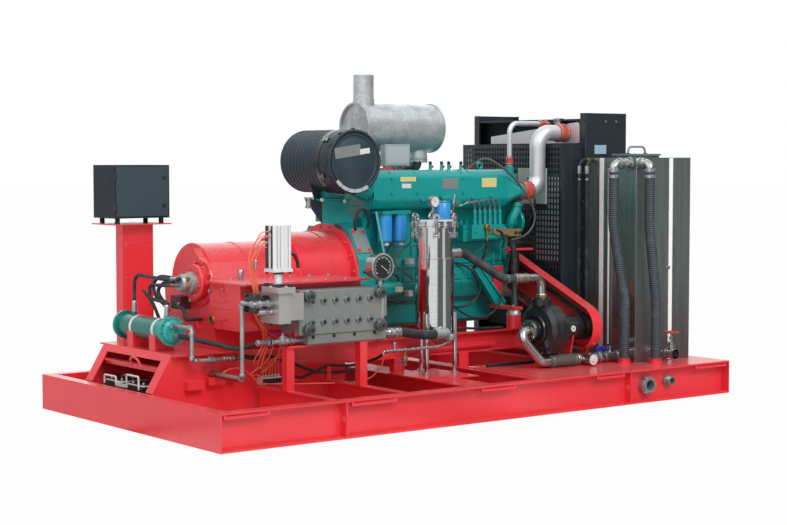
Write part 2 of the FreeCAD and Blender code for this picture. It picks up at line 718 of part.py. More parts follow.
bearing_cap = rod("X", (CASE_LEFT_X, CAP_Y, CAP_Z), -CAP_LENGTH, CAP_RADIUS)
export("pump_crankcase", fuse(crosshead, gearcase, gear_drum, bearing_cap))

cover = box((CROSSHEAD_LEFT_X - 30, CROSSHEAD_RIGHT_X + 10),
            (CROSSHEAD_FRONT_Y - COVER_OVERHANG, flat_start_y - 2),
            (CROSSHEAD_TOP, CROSSHEAD_TOP + COVER_THICKNESS))
export("crankcase_cover", cover)

flange_left = ENGINE_REAR_X - BELL_FLANGE_THICKNESS
bell = turned("X", (CASE_RIGHT_X, SHAFT_Y, SHAFT_Z),
              [(0, GEAR_RADIUS - 100), (0, BELL_RADIUS),
               (flange_left - CASE_RIGHT_X, BELL_RADIUS),
               (flange_left - CASE_RIGHT_X, BELL_FLANGE_RADIUS),
               (ENGINE_REAR_X - CASE_RIGHT_X, BELL_FLANGE_RADIUS),
               (ENGINE_REAR_X - CASE_RIGHT_X, BELL_RADIUS - BELL_WALL),
               (BELL_WALL * 2, BELL_RADIUS - BELL_WALL),
               (BELL_WALL * 2, GEAR_RADIUS - 100)])
export("coupling_housing", bell)

cap_end_x = CASE_LEFT_X - CAP_LENGTH
lube = turned("X", (cap_end_x - LUBE_LENGTH, CAP_Y, CAP_Z),
              [(0, 0), (0, LUBE_RADIUS - 8), (18, LUBE_RADIUS), (62, LUBE_RADIUS),
               (70, LUBE_RADIUS + 14), (LUBE_LENGTH, LUBE_RADIUS + 14), (LUBE_LENGTH, 0)])
valve_block = box((CASE_LEFT_X - VALVE_BLOCK_DEPTH, CASE_LEFT_X), (SHAFT_Y - 80, SHAFT_Y + 60),
                  VALVE_BLOCK_Z)
export("lube_system", lube, valve_block)

# Fluid end

fluid_front_y = CROSSHEAD_FRONT_Y - FLUID_DEPTH
fluid = box((FLUID_LEFT_X, FLUID_RIGHT_X), (fluid_front_y, CROSSHEAD_FRONT_Y),
            (FLUID_BOTTOM, FLUID_TOP))
fluid = fluid.makeChamfer(4, [edge for edge in fluid.Edges
                              if edge.BoundBox.YMax < CROSSHEAD_FRONT_Y - 1])
side_flange = box((FLUID_RIGHT_X, FLUID_RIGHT_X + 62), (fluid_front_y + 30, CROSSHEAD_FRONT_Y - 20),
                  (FLUID_BOTTOM + 92, FLUID_TOP - 45))
export("fluid_end", fuse(fluid, side_flange))

plugs = []
for column in range(PLUG_COLUMNS):
    for z in (PLUG_UPPER_Z, PLUG_LOWER_Z):
        x = PLUG_FIRST_X + column * PLUG_PITCH
        plug = rod("Y", (x, fluid_front_y, z), -PLUG_PROUD, PLUG_RADIUS)
        plugs.append(plug.cut(rod("Y", (x, fluid_front_y - 2, z), -PLUG_PROUD, PLUG_SOCKET)))
gland_left = FLUID_LEFT_X + GLAND_RADIUS + GLAND_INSET
gland_right = FLUID_RIGHT_X - GLAND_RADIUS + GLAND_INSET / 2
for x in (gland_left, gland_right):
    for z in (FLUID_TOP - GLAND_RADIUS + 6, FLUID_BOTTOM + GLAND_RADIUS - 2):
        gland = turned("Y", (x, fluid_front_y - GLAND_LENGTH - 14, z),
                       [(0, 0), (0, GLAND_RADIUS - 14), (14, GLAND_RADIUS - 12),
                        (14, GLAND_RADIUS - 3), (17, GLAND_RADIUS), (GLAND_LENGTH + 14, GLAND_RADIUS),
                        (GLAND_LENGTH + 14, 0)])
        plugs.append(gland)
export("fluid_end_plugs", *plugs)

manifold_front = fluid_front_y + MANIFOLD_FRONT_INSET
manifold = box((MANIFOLD_LEFT_X, MANIFOLD_RIGHT_X),
               (manifold_front, manifold_front + MANIFOLD_DEPTH),
               (FLUID_BOTTOM - MANIFOLD_HEIGHT, FLUID_BOTTOM))
manifold = manifold.makeChamfer(10, [edge for edge in manifold.Edges
                                     if edge.BoundBox.ZMax < FLUID_BOTTOM - 5])
export("suction_manifold", manifold)

# Discharge block and unloader actuator

discharge = box((DISCHARGE_LEFT_X, DISCHARGE_RIGHT_X), (DISCHARGE_FRONT_Y, DISCHARGE_BACK_Y),
                (DISCHARGE_BOTTOM, DISCHARGE_TOP))
link = box((DISCHARGE_RIGHT_X, FLUID_LEFT_X), (DISCHARGE_FRONT_Y + 20, DISCHARGE_BACK_Y),
           (DISCHARGE_BOTTOM + 18, DISCHARGE_TOP - 10))
edge = DISCHARGE_FLANGE_EDGE
flange = box((DISCHARGE_LEFT_X - edge, DISCHARGE_RIGHT_X + edge),
             (DISCHARGE_FRONT_Y - edge, DISCHARGE_FRONT_Y + 150 + edge),
             (DISCHARGE_TOP, DISCHARGE_TOP + DISCHARGE_FLANGE))
export("discharge_block", fuse(discharge, link, flange))

rod_x = (DISCHARGE_LEFT_X + DISCHARGE_RIGHT_X) / 2
rod_y = DISCHARGE_FRONT_Y + 75
flange_top = DISCHARGE_TOP + DISCHARGE_FLANGE
spindle = rod("Z", (rod_x, rod_y, flange_top), ACTUATOR_BOTTOM - flange_top, ACTUATOR_ROD)
half_w, half_d = ACTUATOR_WIDTH / 2, ACTUATOR_DEPTH / 2
foot = box((rod_x - half_w, rod_x + half_w), (rod_y - half_d, rod_y + half_d),
           (ACTUATOR_BOTTOM, ACTUATOR_BOTTOM + 20))
barrel = box((rod_x - half_w + 4, rod_x + half_w - 4), (rod_y - half_d + 4, rod_y + half_d - 4),
             (ACTUATOR_BOTTOM + 20, ACTUATOR_TOP))
barrel = barrel.makeFillet(14, [edge for edge in barrel.Edges
                                if edge.BoundBox.ZLength > ACTUATOR_TOP - ACTUATOR_BOTTOM - 21])
solenoids = box(SOLENOID_X, (PEDESTAL_NEAR_Y - SOLENOID_DEPTH, PEDESTAL_NEAR_Y), SOLENOID_Z)
export("unloader_actuator", fuse(spindle, foot, barrel), solenoids)

# Air tubes: out of the actuator's left face, down behind the discharge block, back to the solenoids
tubes = []
face_x = rod_x - half_w + 4
behind_y = (DISCHARGE_BACK_Y + CROSSHEAD_FRONT_Y) / 2
for index in range(AIR_TUBES):
    aside = index * AIR_TUBE_PITCH
    apart = (index - 1) * 3 * AIR_TUBE_RADIUS
    end = (SOLENOID_X[0] + 35 + aside, PEDESTAL_NEAR_Y - SOLENOID_DEPTH / 2, SOLENOID_Z[1])
    tubes.append(bent_rod([(face_x, rod_y + apart, ACTUATOR_TOP - 40 - 1.3 * aside),
                           (face_x - 70 + aside / 2, rod_y + apart, ACTUATOR_TOP - 40 - 1.3 * aside),
                           (face_x - 135 + aside, rod_y + 55 + apart, ACTUATOR_BOTTOM + 110 - aside),
                           (face_x - 70 + apart, rod_y + 80, DISCHARGE_TOP + 130),
                           (face_x - 40 + apart, rod_y + 80, DISCHARGE_TOP - 20),
                           (face_x - 20 + apart, behind_y - 20, DISCHARGE_TOP - 130),
                           (face_x + 60 + apart, behind_y, DISCHARGE_BOTTOM - 10),
                           (face_x + 110 + aside / 2, behind_y + 35, DISCHARGE_BOTTOM - 150),
                           (face_x + 40 + aside, -440, 440 - aside),
                           (end[0] - 90, -300, 370),
                           (end[0], end[1], end[2] + 95),
                           end], AIR_TUBE_RADIUS))
export("air_tubes", *tubes)

# Pressure gauge on the upper right gland

gauge_face_y = fluid_front_y - 44
gauge = turned("Y", (gland_right, gauge_face_y, GAUGE_Z),
               [(0, 0), (0, GAUGE_RADIUS), (18, GAUGE_RADIUS), (18, GAUGE_RADIUS - 6),
                (GAUGE_DEPTH, GAUGE_RADIUS - 6), (GAUGE_DEPTH, 0)])
stem_bottom = FLUID_TOP + 6 + SEAT
stem = rod("Z", (gland_right, fluid_front_y - 24, stem_bottom), GAUGE_Z - stem_bottom, 13)
export("pressure_gauge", fuse(gauge, stem))

# Oil cooler on saddles

length = COOLER_FAR_Y - COOLER_NEAR_Y
t = COOLER_FLANGE_THICKNESS
cooler = turned("Y", (COOLER_X, COOLER_NEAR_Y, COOLER_Z),
                [(0, 0), (0, 62), (14, 80), (26, 82), (26, COOLER_FLANGE_RADIUS),
                 (26 + t, COOLER_FLANGE_RADIUS), (26 + t, COOLER_TUBE_RADIUS),
                 (length - 26 - t, COOLER_TUBE_RADIUS), (length - 26 - t, COOLER_FLANGE_RADIUS),
                 (length - 26, COOLER_FLANGE_RADIUS), (length - 26, 82), (length - 14, 80),
                 (length, 62), (length, 0)])
port_near_y, port_far_y = COOLER_NEAR_Y + COOLER_NEAR_PORT, COOLER_FAR_Y - COOLER_FAR_PORT
cooler_top = COOLER_Z + COOLER_TUBE_RADIUS + COOLER_PORT_HEIGHT
for y in (port_near_y, port_far_y):
    cooler = fuse(cooler, rod("Z", (COOLER_X, y, COOLER_Z), cooler_top - COOLER_Z, COOLER_PORT_RADIUS))
export("oil_cooler", cooler)

# Engine

housing_front = ENGINE_REAR_X + FLYWHEEL_HOUSING
housing = [(SHAFT_Y - 390, SHAFT_Z - 60), (SHAFT_Y - 390, SHAFT_Z + 140),
           (SHAFT_Y - 250, SHAFT_Z + 370), (SHAFT_Y + 250, SHAFT_Z + 370),
           (SHAFT_Y + 390, SHAFT_Z + 140), (SHAFT_Y + 390, SHAFT_Z - 60),
           (SHAFT_Y + 200, SHAFT_Z - 370), (SHAFT_Y - 200, SHAFT_Z - 370)]
flywheel = prism("X", ENGINE_REAR_X, housing_front, housing)
wide, slim = SKIRT_HALF_WIDTH, BLOCK_HALF_WIDTH
block = [(SHAFT_Y - slim, BLOCK_BOTTOM), (SHAFT_Y - wide, BLOCK_BOTTOM + 90),
         (SHAFT_Y - wide, SHAFT_Z + 60), (SHAFT_Y - slim, SHAFT_Z + 130),
         (SHAFT_Y - slim, BLOCK_TOP), (SHAFT_Y + slim, BLOCK_TOP),
         (SHAFT_Y + slim, SHAFT_Z + 130), (SHAFT_Y + wide, SHAFT_Z + 60),
         (SHAFT_Y + wide, BLOCK_BOTTOM + 90), (SHAFT_Y + slim, BLOCK_BOTTOM)]
crankcase = prism("X", housing_front, ENGINE_FRONT_X, block)
front_cover = box((ENGINE_FRONT_X, ENGINE_FRONT_X + 70), (SHAFT_Y - slim + 25, SHAFT_Y + slim - 25),
                  (BLOCK_BOTTOM, BLOCK_TOP - 90))
thermostat = box((ENGINE_FRONT_X - 30, COOLANT_X + 38), (COOLANT_Y - 45, COOLANT_Y + 45),
                 (BLOCK_TOP - 120, COOLANT_FLANGE_Z - 60))
thermostat = fuse(thermostat, rod("Z", (COOLANT_X, COOLANT_Y, COOLANT_FLANGE_Z - 60), 60, 34))
filter_top = OIL_FILTER_BOTTOM + OIL_FILTER_LENGTH
filter_head = box((OIL_FILTERS_X[0] - 60, OIL_FILTERS_X[1] + 60),
                  (OIL_FILTER_Y - 55, SHAFT_Y - BLOCK_HALF_WIDTH), (filter_top, filter_top + 22))
bracket_top = CLEANER_Z - CLEANER_RADIUS + 60
housing_top = SHAFT_Z + 370
bracket_left, bracket_right = ENGINE_REAR_X - 170, ENGINE_REAR_X + 110
bracket = prism("Y", BRACKET_Y[0], BRACKET_Y[1],
                [(bracket_left, housing_top + 45), (bracket_left, bracket_top),
                 (bracket_right, bracket_top), (bracket_right, housing_top),
                 (ENGINE_REAR_X, housing_top), (ENGINE_REAR_X, housing_top + 45)])
bracket = bracket.cut(rod("Y", (bracket_right + 30, BRACKET_Y[0], housing_top + 200),
                          BRACKET_Y[1] - BRACKET_Y[0], 140))
bracket = bracket.cut(rod("Y", (CLEANER_X, 0, CLEANER_Z), 300, CLEANER_RADIUS - CLEANER_STEP + SEAT))
starter_y = SHAFT_Y - SKIRT_HALF_WIDTH - STARTER_RADIUS + 8
starter = turned("X", (housing_front, starter_y, STARTER_Z),
                 [(0, 0), (0, STARTER_RADIUS - 12), (50, STARTER_RADIUS - 12), (60, STARTER_RADIUS),
                  (STARTER_LENGTH, STARTER_RADIUS), (STARTER_LENGTH + 22, STARTER_RADIUS - 22),
                  (STARTER_LENGTH + 22, 0)])
starter_switch = rod("X", (housing_front, starter_y, STARTER_Z + STARTER_RADIUS + 12), 140, 27)
export("engine_block", fuse(flywheel, crankcase, front_cover, thermostat, filter_head, bracket,
                            starter, starter_switch))

heads = []
first_head = housing_front + 40
for index in range(HEADS):
    left = first_head + index * HEAD_PITCH
    head = box((left, left + HEAD_PITCH - HEAD_GAP),
               (SHAFT_Y - HEAD_HALF_WIDTH, SHAFT_Y + HEAD_HALF_WIDTH),
               (BLOCK_TOP, BLOCK_TOP + HEAD_HEIGHT))
    rocker = box((left + 12, left + HEAD_PITCH - HEAD_GAP - 12),
                 (SHAFT_Y - ROCKER_HALF_WIDTH, SHAFT_Y + ROCKER_HALF_WIDTH),
                 (BLOCK_TOP + HEAD_HEIGHT, BLOCK_TOP + HEAD_HEIGHT + ROCKER_HEIGHT))
    rocker = rocker.makeFillet(18, [edge for edge in rocker.Edges
                                    if edge.BoundBox.ZMin > BLOCK_TOP + HEAD_HEIGHT + 1])
    heads.append(fuse(head, rocker))
export("cylinder_heads", *heads)

# Intake manifold: a deep cast box along the heads that narrows to a round neck at the front
back_y = SHAFT_Y - HEAD_HALF_WIDTH
front_y = back_y - INTAKE_WIDTH
seam_z = BLOCK_TOP + 4
duct = [(back_y, seam_z), (back_y, BLOCK_TOP + HEAD_HEIGHT), (back_y - 45, INTAKE_TOP - 12),
        (back_y - 70, INTAKE_TOP), (front_y + 45, INTAKE_TOP), (front_y, INTAKE_TOP - 45),
        (front_y, INTAKE_BOTTOM + 70), (front_y + 50, INTAKE_BOTTOM),
        (back_y - 60, INTAKE_BOTTOM), (back_y - 50, seam_z)]
intake = prism("X", INTAKE_LEFT_X, INTAKE_RIGHT_X, duct)
intake = intake.makeFillet(INTAKE_ROUNDING, [edge for edge in intake.Edges
                                             if edge.BoundBox.YMax < front_y + 51
                                             and edge.BoundBox.XLength > INTAKE_RIGHT_X])
wide_end = max(intake.Faces, key=lambda side: side.CenterOfMass.x).OuterWire
neck_end = Part.Wire(Part.makeCircle(CHARGE_PIPE_RADIUS - 4,
                                     Vector(INTAKE_NECK_X - 60, CHARGE_Y, INTAKE_NECK_Z),
                                     AXIS["X"]))
taper = Part.makeLoft([wide_end, neck_end], True, True)
neck = rod("X", (INTAKE_NECK_X - 60, CHARGE_Y, INTAKE_NECK_Z), 60, CHARGE_PIPE_RADIUS - 4)
export("intake_manifold", fuse(intake, taper, neck))

# Exhaust side: a log manifold, a turbocharger and the riser to the muffler
exhaust_y = SHAFT_Y + HEAD_HALF_WIDTH
log = rod("X", (first_head + 60, exhaust_y + 62, BLOCK_TOP + 70), HEAD_PITCH * (HEADS - 1) + 60, 48)
stubs = [box((first_head + 60 + index * HEAD_PITCH, first_head + 130 + index * HEAD_PITCH),
             (exhaust_y, exhaust_y + 62), (BLOCK_TOP + 35, BLOCK_TOP + 105))
         for index in range(HEADS)]
turbo_z = BLOCK_TOP + 220
turbo = turned("X", (EXHAUST_X - 190, exhaust_y + 62, turbo_z),
               [(0, 0), (0, 60), (30, 105), (90, 105), (110, 55), (150, 55), (170, 95),
                (240, 95), (255, 60), (255, 0)])
riser_base = rod("Z", (EXHAUST_X - 120, exhaust_y + 62, BLOCK_TOP + 70), 140, 44)
rocker_top = BLOCK_TOP + HEAD_HEIGHT + ROCKER_HEIGHT
riser_z = rocker_top + 6 + RISER_RADIUS
inlet_bottom = riser_z + RISER_BEND + 4
riser = bent_rod([(EXHAUST_X, exhaust_y + 62, turbo_z), (EXHAUST_X, exhaust_y + 62, riser_z),
                  (EXHAUST_X, MUFFLER_Y, riser_z),
                  (EXHAUST_X, MUFFLER_Y, inlet_bottom)], RISER_RADIUS, RISER_BEND)
export("exhaust_manifold", fuse(log, turbo, riser_base, riser, *stubs))

# Sump
sump_y = (SHAFT_Y - SUMP_HALF_WIDTH, SHAFT_Y + SUMP_HALF_WIDTH)
sump = [(sump_y[0] - 50, BLOCK_BOTTOM), (sump_y[0], BLOCK_BOTTOM - 60), (sump_y[0], SUMP_BOTTOM + 30),
        (sump_y[0] + 30, SUMP_BOTTOM), (sump_y[1] - 30, SUMP_BOTTOM), (sump_y[1], SUMP_BOTTOM + 30),
        (sump_y[1], BLOCK_BOTTOM - 60), (sump_y[1] + 50, BLOCK_BOTTOM)]
export("oil_sump", prism("X", housing_front + 20, ENGINE_FRONT_X - 60, sump))

# Spin-on filters: two for oil under the filter head, one for fuel under the manifold
filters = []
spin_ons = [(x, OIL_FILTER_Y, OIL_FILTER_BOTTOM, OIL_FILTER_RADIUS, OIL_FILTER_LENGTH)
            for x in OIL_FILTERS_X]
spin_ons.append((FUEL_FILTER_X, OIL_FILTER_Y, INTAKE_BOTTOM - FUEL_FILTER_LENGTH,
                 FUEL_FILTER_RADIUS, FUEL_FILTER_LENGTH))
for x, y, bottom, radius, height in spin_ons:
    filters.append(turned("Z", (x, y, bottom),
                          [(0, 0), (0, radius - 14), (14, radius), (height, radius), (height, 0)]))
export("spin_on_filters", *filters)

# Injection pump beside the block
pump_y = SHAFT_Y - BLOCK_HALF_WIDTH
injection = box(INJECTION_X, (pump_y - INJECTION_DEPTH, pump_y), INJECTION_Z)
barrel = rod("X", (INJECTION_X[1], pump_y - 70, (INJECTION_Z[0] + INJECTION_Z[1]) / 2 - 8),
             GOVERNOR_LENGTH, GOVERNOR_RADIUS)
outlet_y = pump_y - INJECTION_DEPTH / 2
outlets = [rod("Z", (INJECTION_X[0] + (index + 0.5) * (INJECTION_X[1] - INJECTION_X[0]) / HEADS,
                     outlet_y, INJECTION_Z[1]), 34, 13) for index in range(HEADS)]
export("injection_pump", fuse(injection, barrel, *outlets))

# Engine mounts: a rubber block in a cup on each rail, and the bracket up to the engine
mounts = []
for x in MOUNTS_X:
    for side in (-1, 1):
        rail_y = (PEDESTAL_NEAR_Y - 22) if side < 0 else (PEDESTAL_FAR_Y + 22)
        cup = rod("Z", (x, rail_y, PEDESTAL_HEIGHT), MOUNT_CUP_HEIGHT, MOUNT_RADIUS)
        top = rod("Z", (x, rail_y, PEDESTAL_HEIGHT + MOUNT_CUP_HEIGHT), 40, MOUNT_RADIUS - 8)
        engine_y = SHAFT_Y + side * 260
        arm_z = PEDESTAL_HEIGHT + MOUNT_CUP_HEIGHT + 40
        arm = box((x - 45, x + 45), sorted((rail_y + side * 50, engine_y)), (arm_z, arm_z + 24))
        arm = arm.cut(flywheel)
        if x > housing_front:
            plate_y = sorted((SHAFT_Y + side * SKIRT_HALF_WIDTH, SHAFT_Y + side * (SKIRT_HALF_WIDTH + 24)))
            arm = fuse(arm, box((x - 45, x + 45), plate_y, (arm_z, SHAFT_Z + 40)))
        mounts.append(fuse(cup, top, arm))
export("engine_mounts", *mounts)

# Muffler and stack

muffler_length = MUFFLER_RIGHT_X - MUFFLER_LEFT_X
rim = MUFFLER_RADIUS + MUFFLER_RIM
muffler = turned("X", (MUFFLER_LEFT_X, MUFFLER_Y, MUFFLER_Z),
                 [(22, 0), (22, MUFFLER_RADIUS - 6), (0, MUFFLER_RADIUS - 4), (0, rim),
                  (16, rim), (16, MUFFLER_RADIUS), (muffler_length - 16, MUFFLER_RADIUS),
                  (muffler_length - 16, rim), (muffler_length, rim),
                  (muffler_length, MUFFLER_RADIUS - 4), (muffler_length - 22, MUFFLER_RADIUS - 6),
                  (muffler_length - 22, 0)])
stack_start = (STACK_X, MUFFLER_Y, MUFFLER_Z + 100)
stack = rod("Z", stack_start, STACK_TOP - stack_start[2], STACK_RADIUS)
stack_collar = rod("Z", stack_start, STACK_COLLAR_TOP - stack_start[2], STACK_RADIUS + STACK_COLLAR)
stack_hole = rod("Z", stack_start, STACK_TOP - stack_start[2] + rim, STACK_RADIUS - STACK_WALL)
inlet = rod("Z", (EXHAUST_X, MUFFLER_Y, inlet_bottom), MUFFLER_Z - inlet_bottom, EXHAUST_RADIUS)
inlet_flange = rod("Z", (EXHAUST_X, MUFFLER_Y, inlet_bottom), 16, EXHAUST_RADIUS + 16)
export("muffler", fuse(muffler, stack, stack_collar, inlet, inlet_flange).cut(stack_hole))

# Air cleaner

cleaner_length = CLEANER_BACK_Y - CLEANER_FRONT_Y
cleaner = turned("Y", (CLEANER_X, CLEANER_FRONT_Y, CLEANER_Z),
                 [(0, 0), (0, CLEANER_RADIUS - 22), (10, CLEANER_RADIUS - 4), (40, CLEANER_RADIUS),
                  (110, CLEANER_RADIUS), (115, CLEANER_RADIUS - CLEANER_STEP),
                  (cleaner_length - 20, CLEANER_RADIUS - CLEANER_STEP),
                  (cleaner_length, CLEANER_RADIUS - 30), (cleaner_length, 0)])
gusset_y = BRACKET_Y[0] + 50
gusset = prism("Y", gusset_y, gusset_y + GUSSET_THICKNESS,
               [(CLEANER_X - 0.85 * CLEANER_RADIUS, CLEANER_Z - CLEANER_RADIUS / 3),
                (bracket_left, housing_top + 50), (bracket_left, CLEANER_Z - 0.8 * CLEANER_RADIUS)])
export("air_cleaner", fuse(cleaner, gusset))

junction = box((JUNCTION_X - JUNCTION_WIDTH / 2, JUNCTION_X + JUNCTION_WIDTH / 2),
               (SHAFT_Y - 150, SHAFT_Y - 150 + JUNCTION_DEPTH),
               (JUNCTION_BOTTOM, JUNCTION_BOTTOM + JUNCTION_HEIGHT))
legs = [box((x - 12, x + 12), (SHAFT_Y - 110, SHAFT_Y - 80), (rocker_top, JUNCTION_BOTTOM))
        for x in (JUNCTION_X - 70, JUNCTION_X + 50)]
export("junction_box", fuse(junction, *legs))

# Radiator pack: two folded side panels, the core between them, the charge-air tank across the top

panels = []
for side, wall in ((1, RADIATOR_NEAR_Y), (-1, RADIATOR_FAR_Y)):
    sheet_y = sorted((wall, wall + side * RADIATOR_SHEET))
    lip_y = sorted((wall, wall + side * RADIATOR_LIP))
    panel = box((RADIATOR_FACE_X, RADIATOR_BACK_X), sheet_y, (BASE_HEIGHT, RADIATOR_TOP))
    lip = box((RADIATOR_FACE_X, RADIATOR_FACE_X + RADIATOR_SHEET), lip_y,
              (BASE_HEIGHT, RADIATOR_TOP))
    back_lip = box((RADIATOR_BACK_X - RADIATOR_SHEET, RADIATOR_BACK_X), lip_y,
                   (BASE_HEIGHT, RADIATOR_TOP))
    panels.append(fuse(panel, lip, back_lip))
inner_y = (RADIATOR_NEAR_Y + RADIATOR_SHEET, RADIATOR_FAR_Y - RADIATOR_SHEET)
foot_bar = box((RADIATOR_FACE_X + 100, RADIATOR_BACK_X - 100), inner_y,
               (BASE_HEIGHT, BASE_HEIGHT + 80))
top_bar = box((RADIATOR_FACE_X + RADIATOR_SHEET, RADIATOR_FACE_X + RADIATOR_LIP), inner_y,
              (TOP_BAR_Z, TOP_BAR_Z + 14))
export("radiator_frame", fuse(panels[0], panels[1], foot_bar, top_bar))

core_x = RADIATOR_FACE_X + HEADER_THICKNESS
core = box((core_x, core_x + CORE_THICKNESS), inner_y, (CORE_BOTTOM, CORE_TOP))
core_feet = box((core_x + 60, core_x + CORE_THICKNESS - 60), inner_y,
                (BASE_HEIGHT + 80, CORE_BOTTOM))
export("radiator_core", fuse(core, core_feet))

header = [(HEADER_NEAR_Y, HEADER_BOTTOM), (HEADER_FAR_Y, HEADER_BOTTOM),
          (HEADER_FAR_Y, HEADER_FAR_TOP), (HEADER_NEAR_Y + 22, HEADER_NEAR_TOP),
          (HEADER_NEAR_Y, HEADER_NEAR_TOP - 15)]
export("charge_air_tank", prism("X", RADIATOR_FACE_X, core_x, header))

shroud_y = (SHROUD_NEAR_Y, SHROUD_FAR_Y)
outer = box((SHROUD_FACE_X, RADIATOR_FACE_X), shroud_y, (SHROUD_BOTTOM, SHROUD_TOP))
inner = box((SHROUD_FACE_X - 1, RADIATOR_FACE_X + 1),
            (shroud_y[0] + SHROUD_WALL, shroud_y[1] - SHROUD_WALL),
            (SHROUD_BOTTOM + SHROUD_WALL, SHROUD_TOP - SHROUD_WALL))
export("fan_shroud", outer.cut(inner))
guard_x = SHROUD_FACE_X - GUARD_THICKNESS
fan_y, fan_z = (SHROUD_NEAR_Y + SHROUD_FAR_Y) / 2, (SHROUD_BOTTOM + SHROUD_TOP) / 2
fan_guard = box((guard_x, SHROUD_FACE_X), shroud_y, (SHROUD_BOTTOM, SHROUD_TOP))
export("fan_guard", fan_guard.cut(rod("X", (guard_x, fan_y, fan_z), GUARD_THICKNESS,
                                      FAN_SHAFT_RADIUS + 15)))

# Charge-air pipe and the thinner coolant pipe over it
charge = bent_rod([(INTAKE_NECK_X, CHARGE_Y, INTAKE_NECK_Z), (CHARGE_BEND_X, CHARGE_Y, INTAKE_NECK_Z),
                   (CHARGE_BEND_X, CHARGE_Y, CHARGE_TOP_Z),
                   (RADIATOR_FACE_X, CHARGE_Y, CHARGE_TOP_Z)], CHARGE_PIPE_RADIUS, 115)
coolant = bent_rod([(COOLANT_X, COOLANT_Y, COOLANT_FLANGE_Z), (COOLANT_X, COOLANT_Y, COOLANT_TOP_Z),
                    (core_x, COOLANT_Y, COOLANT_TOP_Z)], COOLANT_RADIUS, 75)
export("charge_air_pipe", charge, coolant)

# Booster pump

booster = turned("X", (BOOSTER_FACE_X, BOOSTER_Y, BOOSTER_Z),
                 [(0, 0), (0, 82), (24, 82), (24, 62), (50, 70), (60, 128), (66, 150),
                  (VOLUTE_LEFT_X - BOOSTER_FACE_X, 168), (VOLUTE_LEFT_X - BOOSTER_FACE_X + 22, VOLUTE_RADIUS),
                  (VOLUTE_RIGHT_X - BOOSTER_FACE_X, VOLUTE_RADIUS),
                  (VOLUTE_RIGHT_X - BOOSTER_FACE_X + 20, 150),
                  (VOLUTE_RIGHT_X - BOOSTER_FACE_X + 60, 118),
                  (VOLUTE_RIGHT_X - BOOSTER_FACE_X + 64, 132),
                  (VOLUTE_RIGHT_X - BOOSTER_FACE_X + 92, 132),
                  (VOLUTE_RIGHT_X - BOOSTER_FACE_X + 96, BEARING_RADIUS),
                  (BEARING_RIGHT_X - BOOSTER_FACE_X, BEARING_RADIUS),
                  (BEARING_RIGHT_X - BOOSTER_FACE_X, 0)])
outlet_x = (VOLUTE_LEFT_X + VOLUTE_RIGHT_X) / 2 - 20
outlet_neck = rod("Z", (outlet_x, BOOSTER_Y, BOOSTER_Z), OUTLET_HEIGHT - 20, 48)
outlet_flange = rod("Z", (outlet_x, BOOSTER_Y, BOOSTER_Z + OUTLET_HEIGHT - 42), 42, OUTLET_RADIUS)
export("booster_pump", fuse(booster, outlet_neck, outlet_flange))

foot = prism("X", STAND_FOOT_X, STAND_FOOT_X + STAND_SHEET,
             [(BOOSTER_Y - 28, BASE_HEIGHT), (BOOSTER_Y + 28, BASE_HEIGHT),
              (BOOSTER_Y + 82, BOOSTER_Z - 20), (BOOSTER_Y - 82, BOOSTER_Z - 20)])
foot = foot.cut(rod("X", (STAND_FOOT_X, BOOSTER_Y, BOOSTER_Z), STAND_SHEET, BEARING_RADIUS + SEAT))
base_plate = box(STAND_X, (BOOSTER_Y - 30, BOOSTER_Y + 110), (BASE_HEIGHT, BASE_HEIGHT + STAND_SHEET))
cradle = box(CRADLE_X, (BOOSTER_Y - 30, BOOSTER_Y + 60), (BASE_HEIGHT, BOOSTER_Z - VOLUTE_RADIUS * 0.7))
cradle = cradle.cut(rod("X", (CRADLE_X[0], BOOSTER_Y, BOOSTER_Z), CRADLE_X[1] - CRADLE_X[0],
                        VOLUTE_RADIUS + SEAT))
export("booster_stand", fuse(foot, base_plate, cradle))

# Belt drive: pulleys and belt as one fixed loop, in a sheet guard

run = Vector(0, BOOSTER_Y - SHAFT_Y, BOOSTER_Z - SHAFT_Z)
run.normalize()
normal = Vector(0, -run.z, run.y)
if normal.z < 0:
    normal = normal * -1


def stadium(low, high, radius):
    """A flat loop outline round the crank pulley and the pump pulley, extruded along X."""
    upper, lower = Vector(low, SHAFT_Y, SHAFT_Z), Vector(low, BOOSTER_Y, BOOSTER_Z)
    a, b = upper + normal * radius, lower + normal * radius
    c, d = lower - normal * radius, upper - normal * radius
    edges = [Part.LineSegment(a, b).toShape(),
             Part.Arc(b, lower + run * radius, c).toShape(),
             Part.LineSegment(c, d).toShape(),
             Part.Arc(d, upper - run * radius, a).toShape()]
    return Part.Face(Part.Wire(edges)).extrude(Vector(high - low, 0, 0))


belt = stadium(BELT_LEFT_X, BELT_RIGHT_X, PULLEY_RADIUS).cut(
    stadium(BELT_LEFT_X - 1, BELT_RIGHT_X + 1, PULLEY_RADIUS - BELT_THICKNESS))
export("drive_belt", belt)
hub = PULLEY_RADIUS - BELT_THICKNESS
shaft_nose = rod("X", (ENGINE_FRONT_X + 70, SHAFT_Y, SHAFT_Z), BELT_LEFT_X - ENGINE_FRONT_X - 70, 42)
crank_pulley = rod("X", (BELT_LEFT_X, SHAFT_Y, SHAFT_Z), BELT_RIGHT_X - BELT_LEFT_X, hub)
pump_pulley = rod("X", (BEARING_RIGHT_X, BOOSTER_Y, BOOSTER_Z), BELT_LEFT_X - BEARING_RIGHT_X, 30)
pump_wheel = rod("X", (BELT_LEFT_X, BOOSTER_Y, BOOSTER_Z), BELT_RIGHT_X - BELT_LEFT_X, hub)

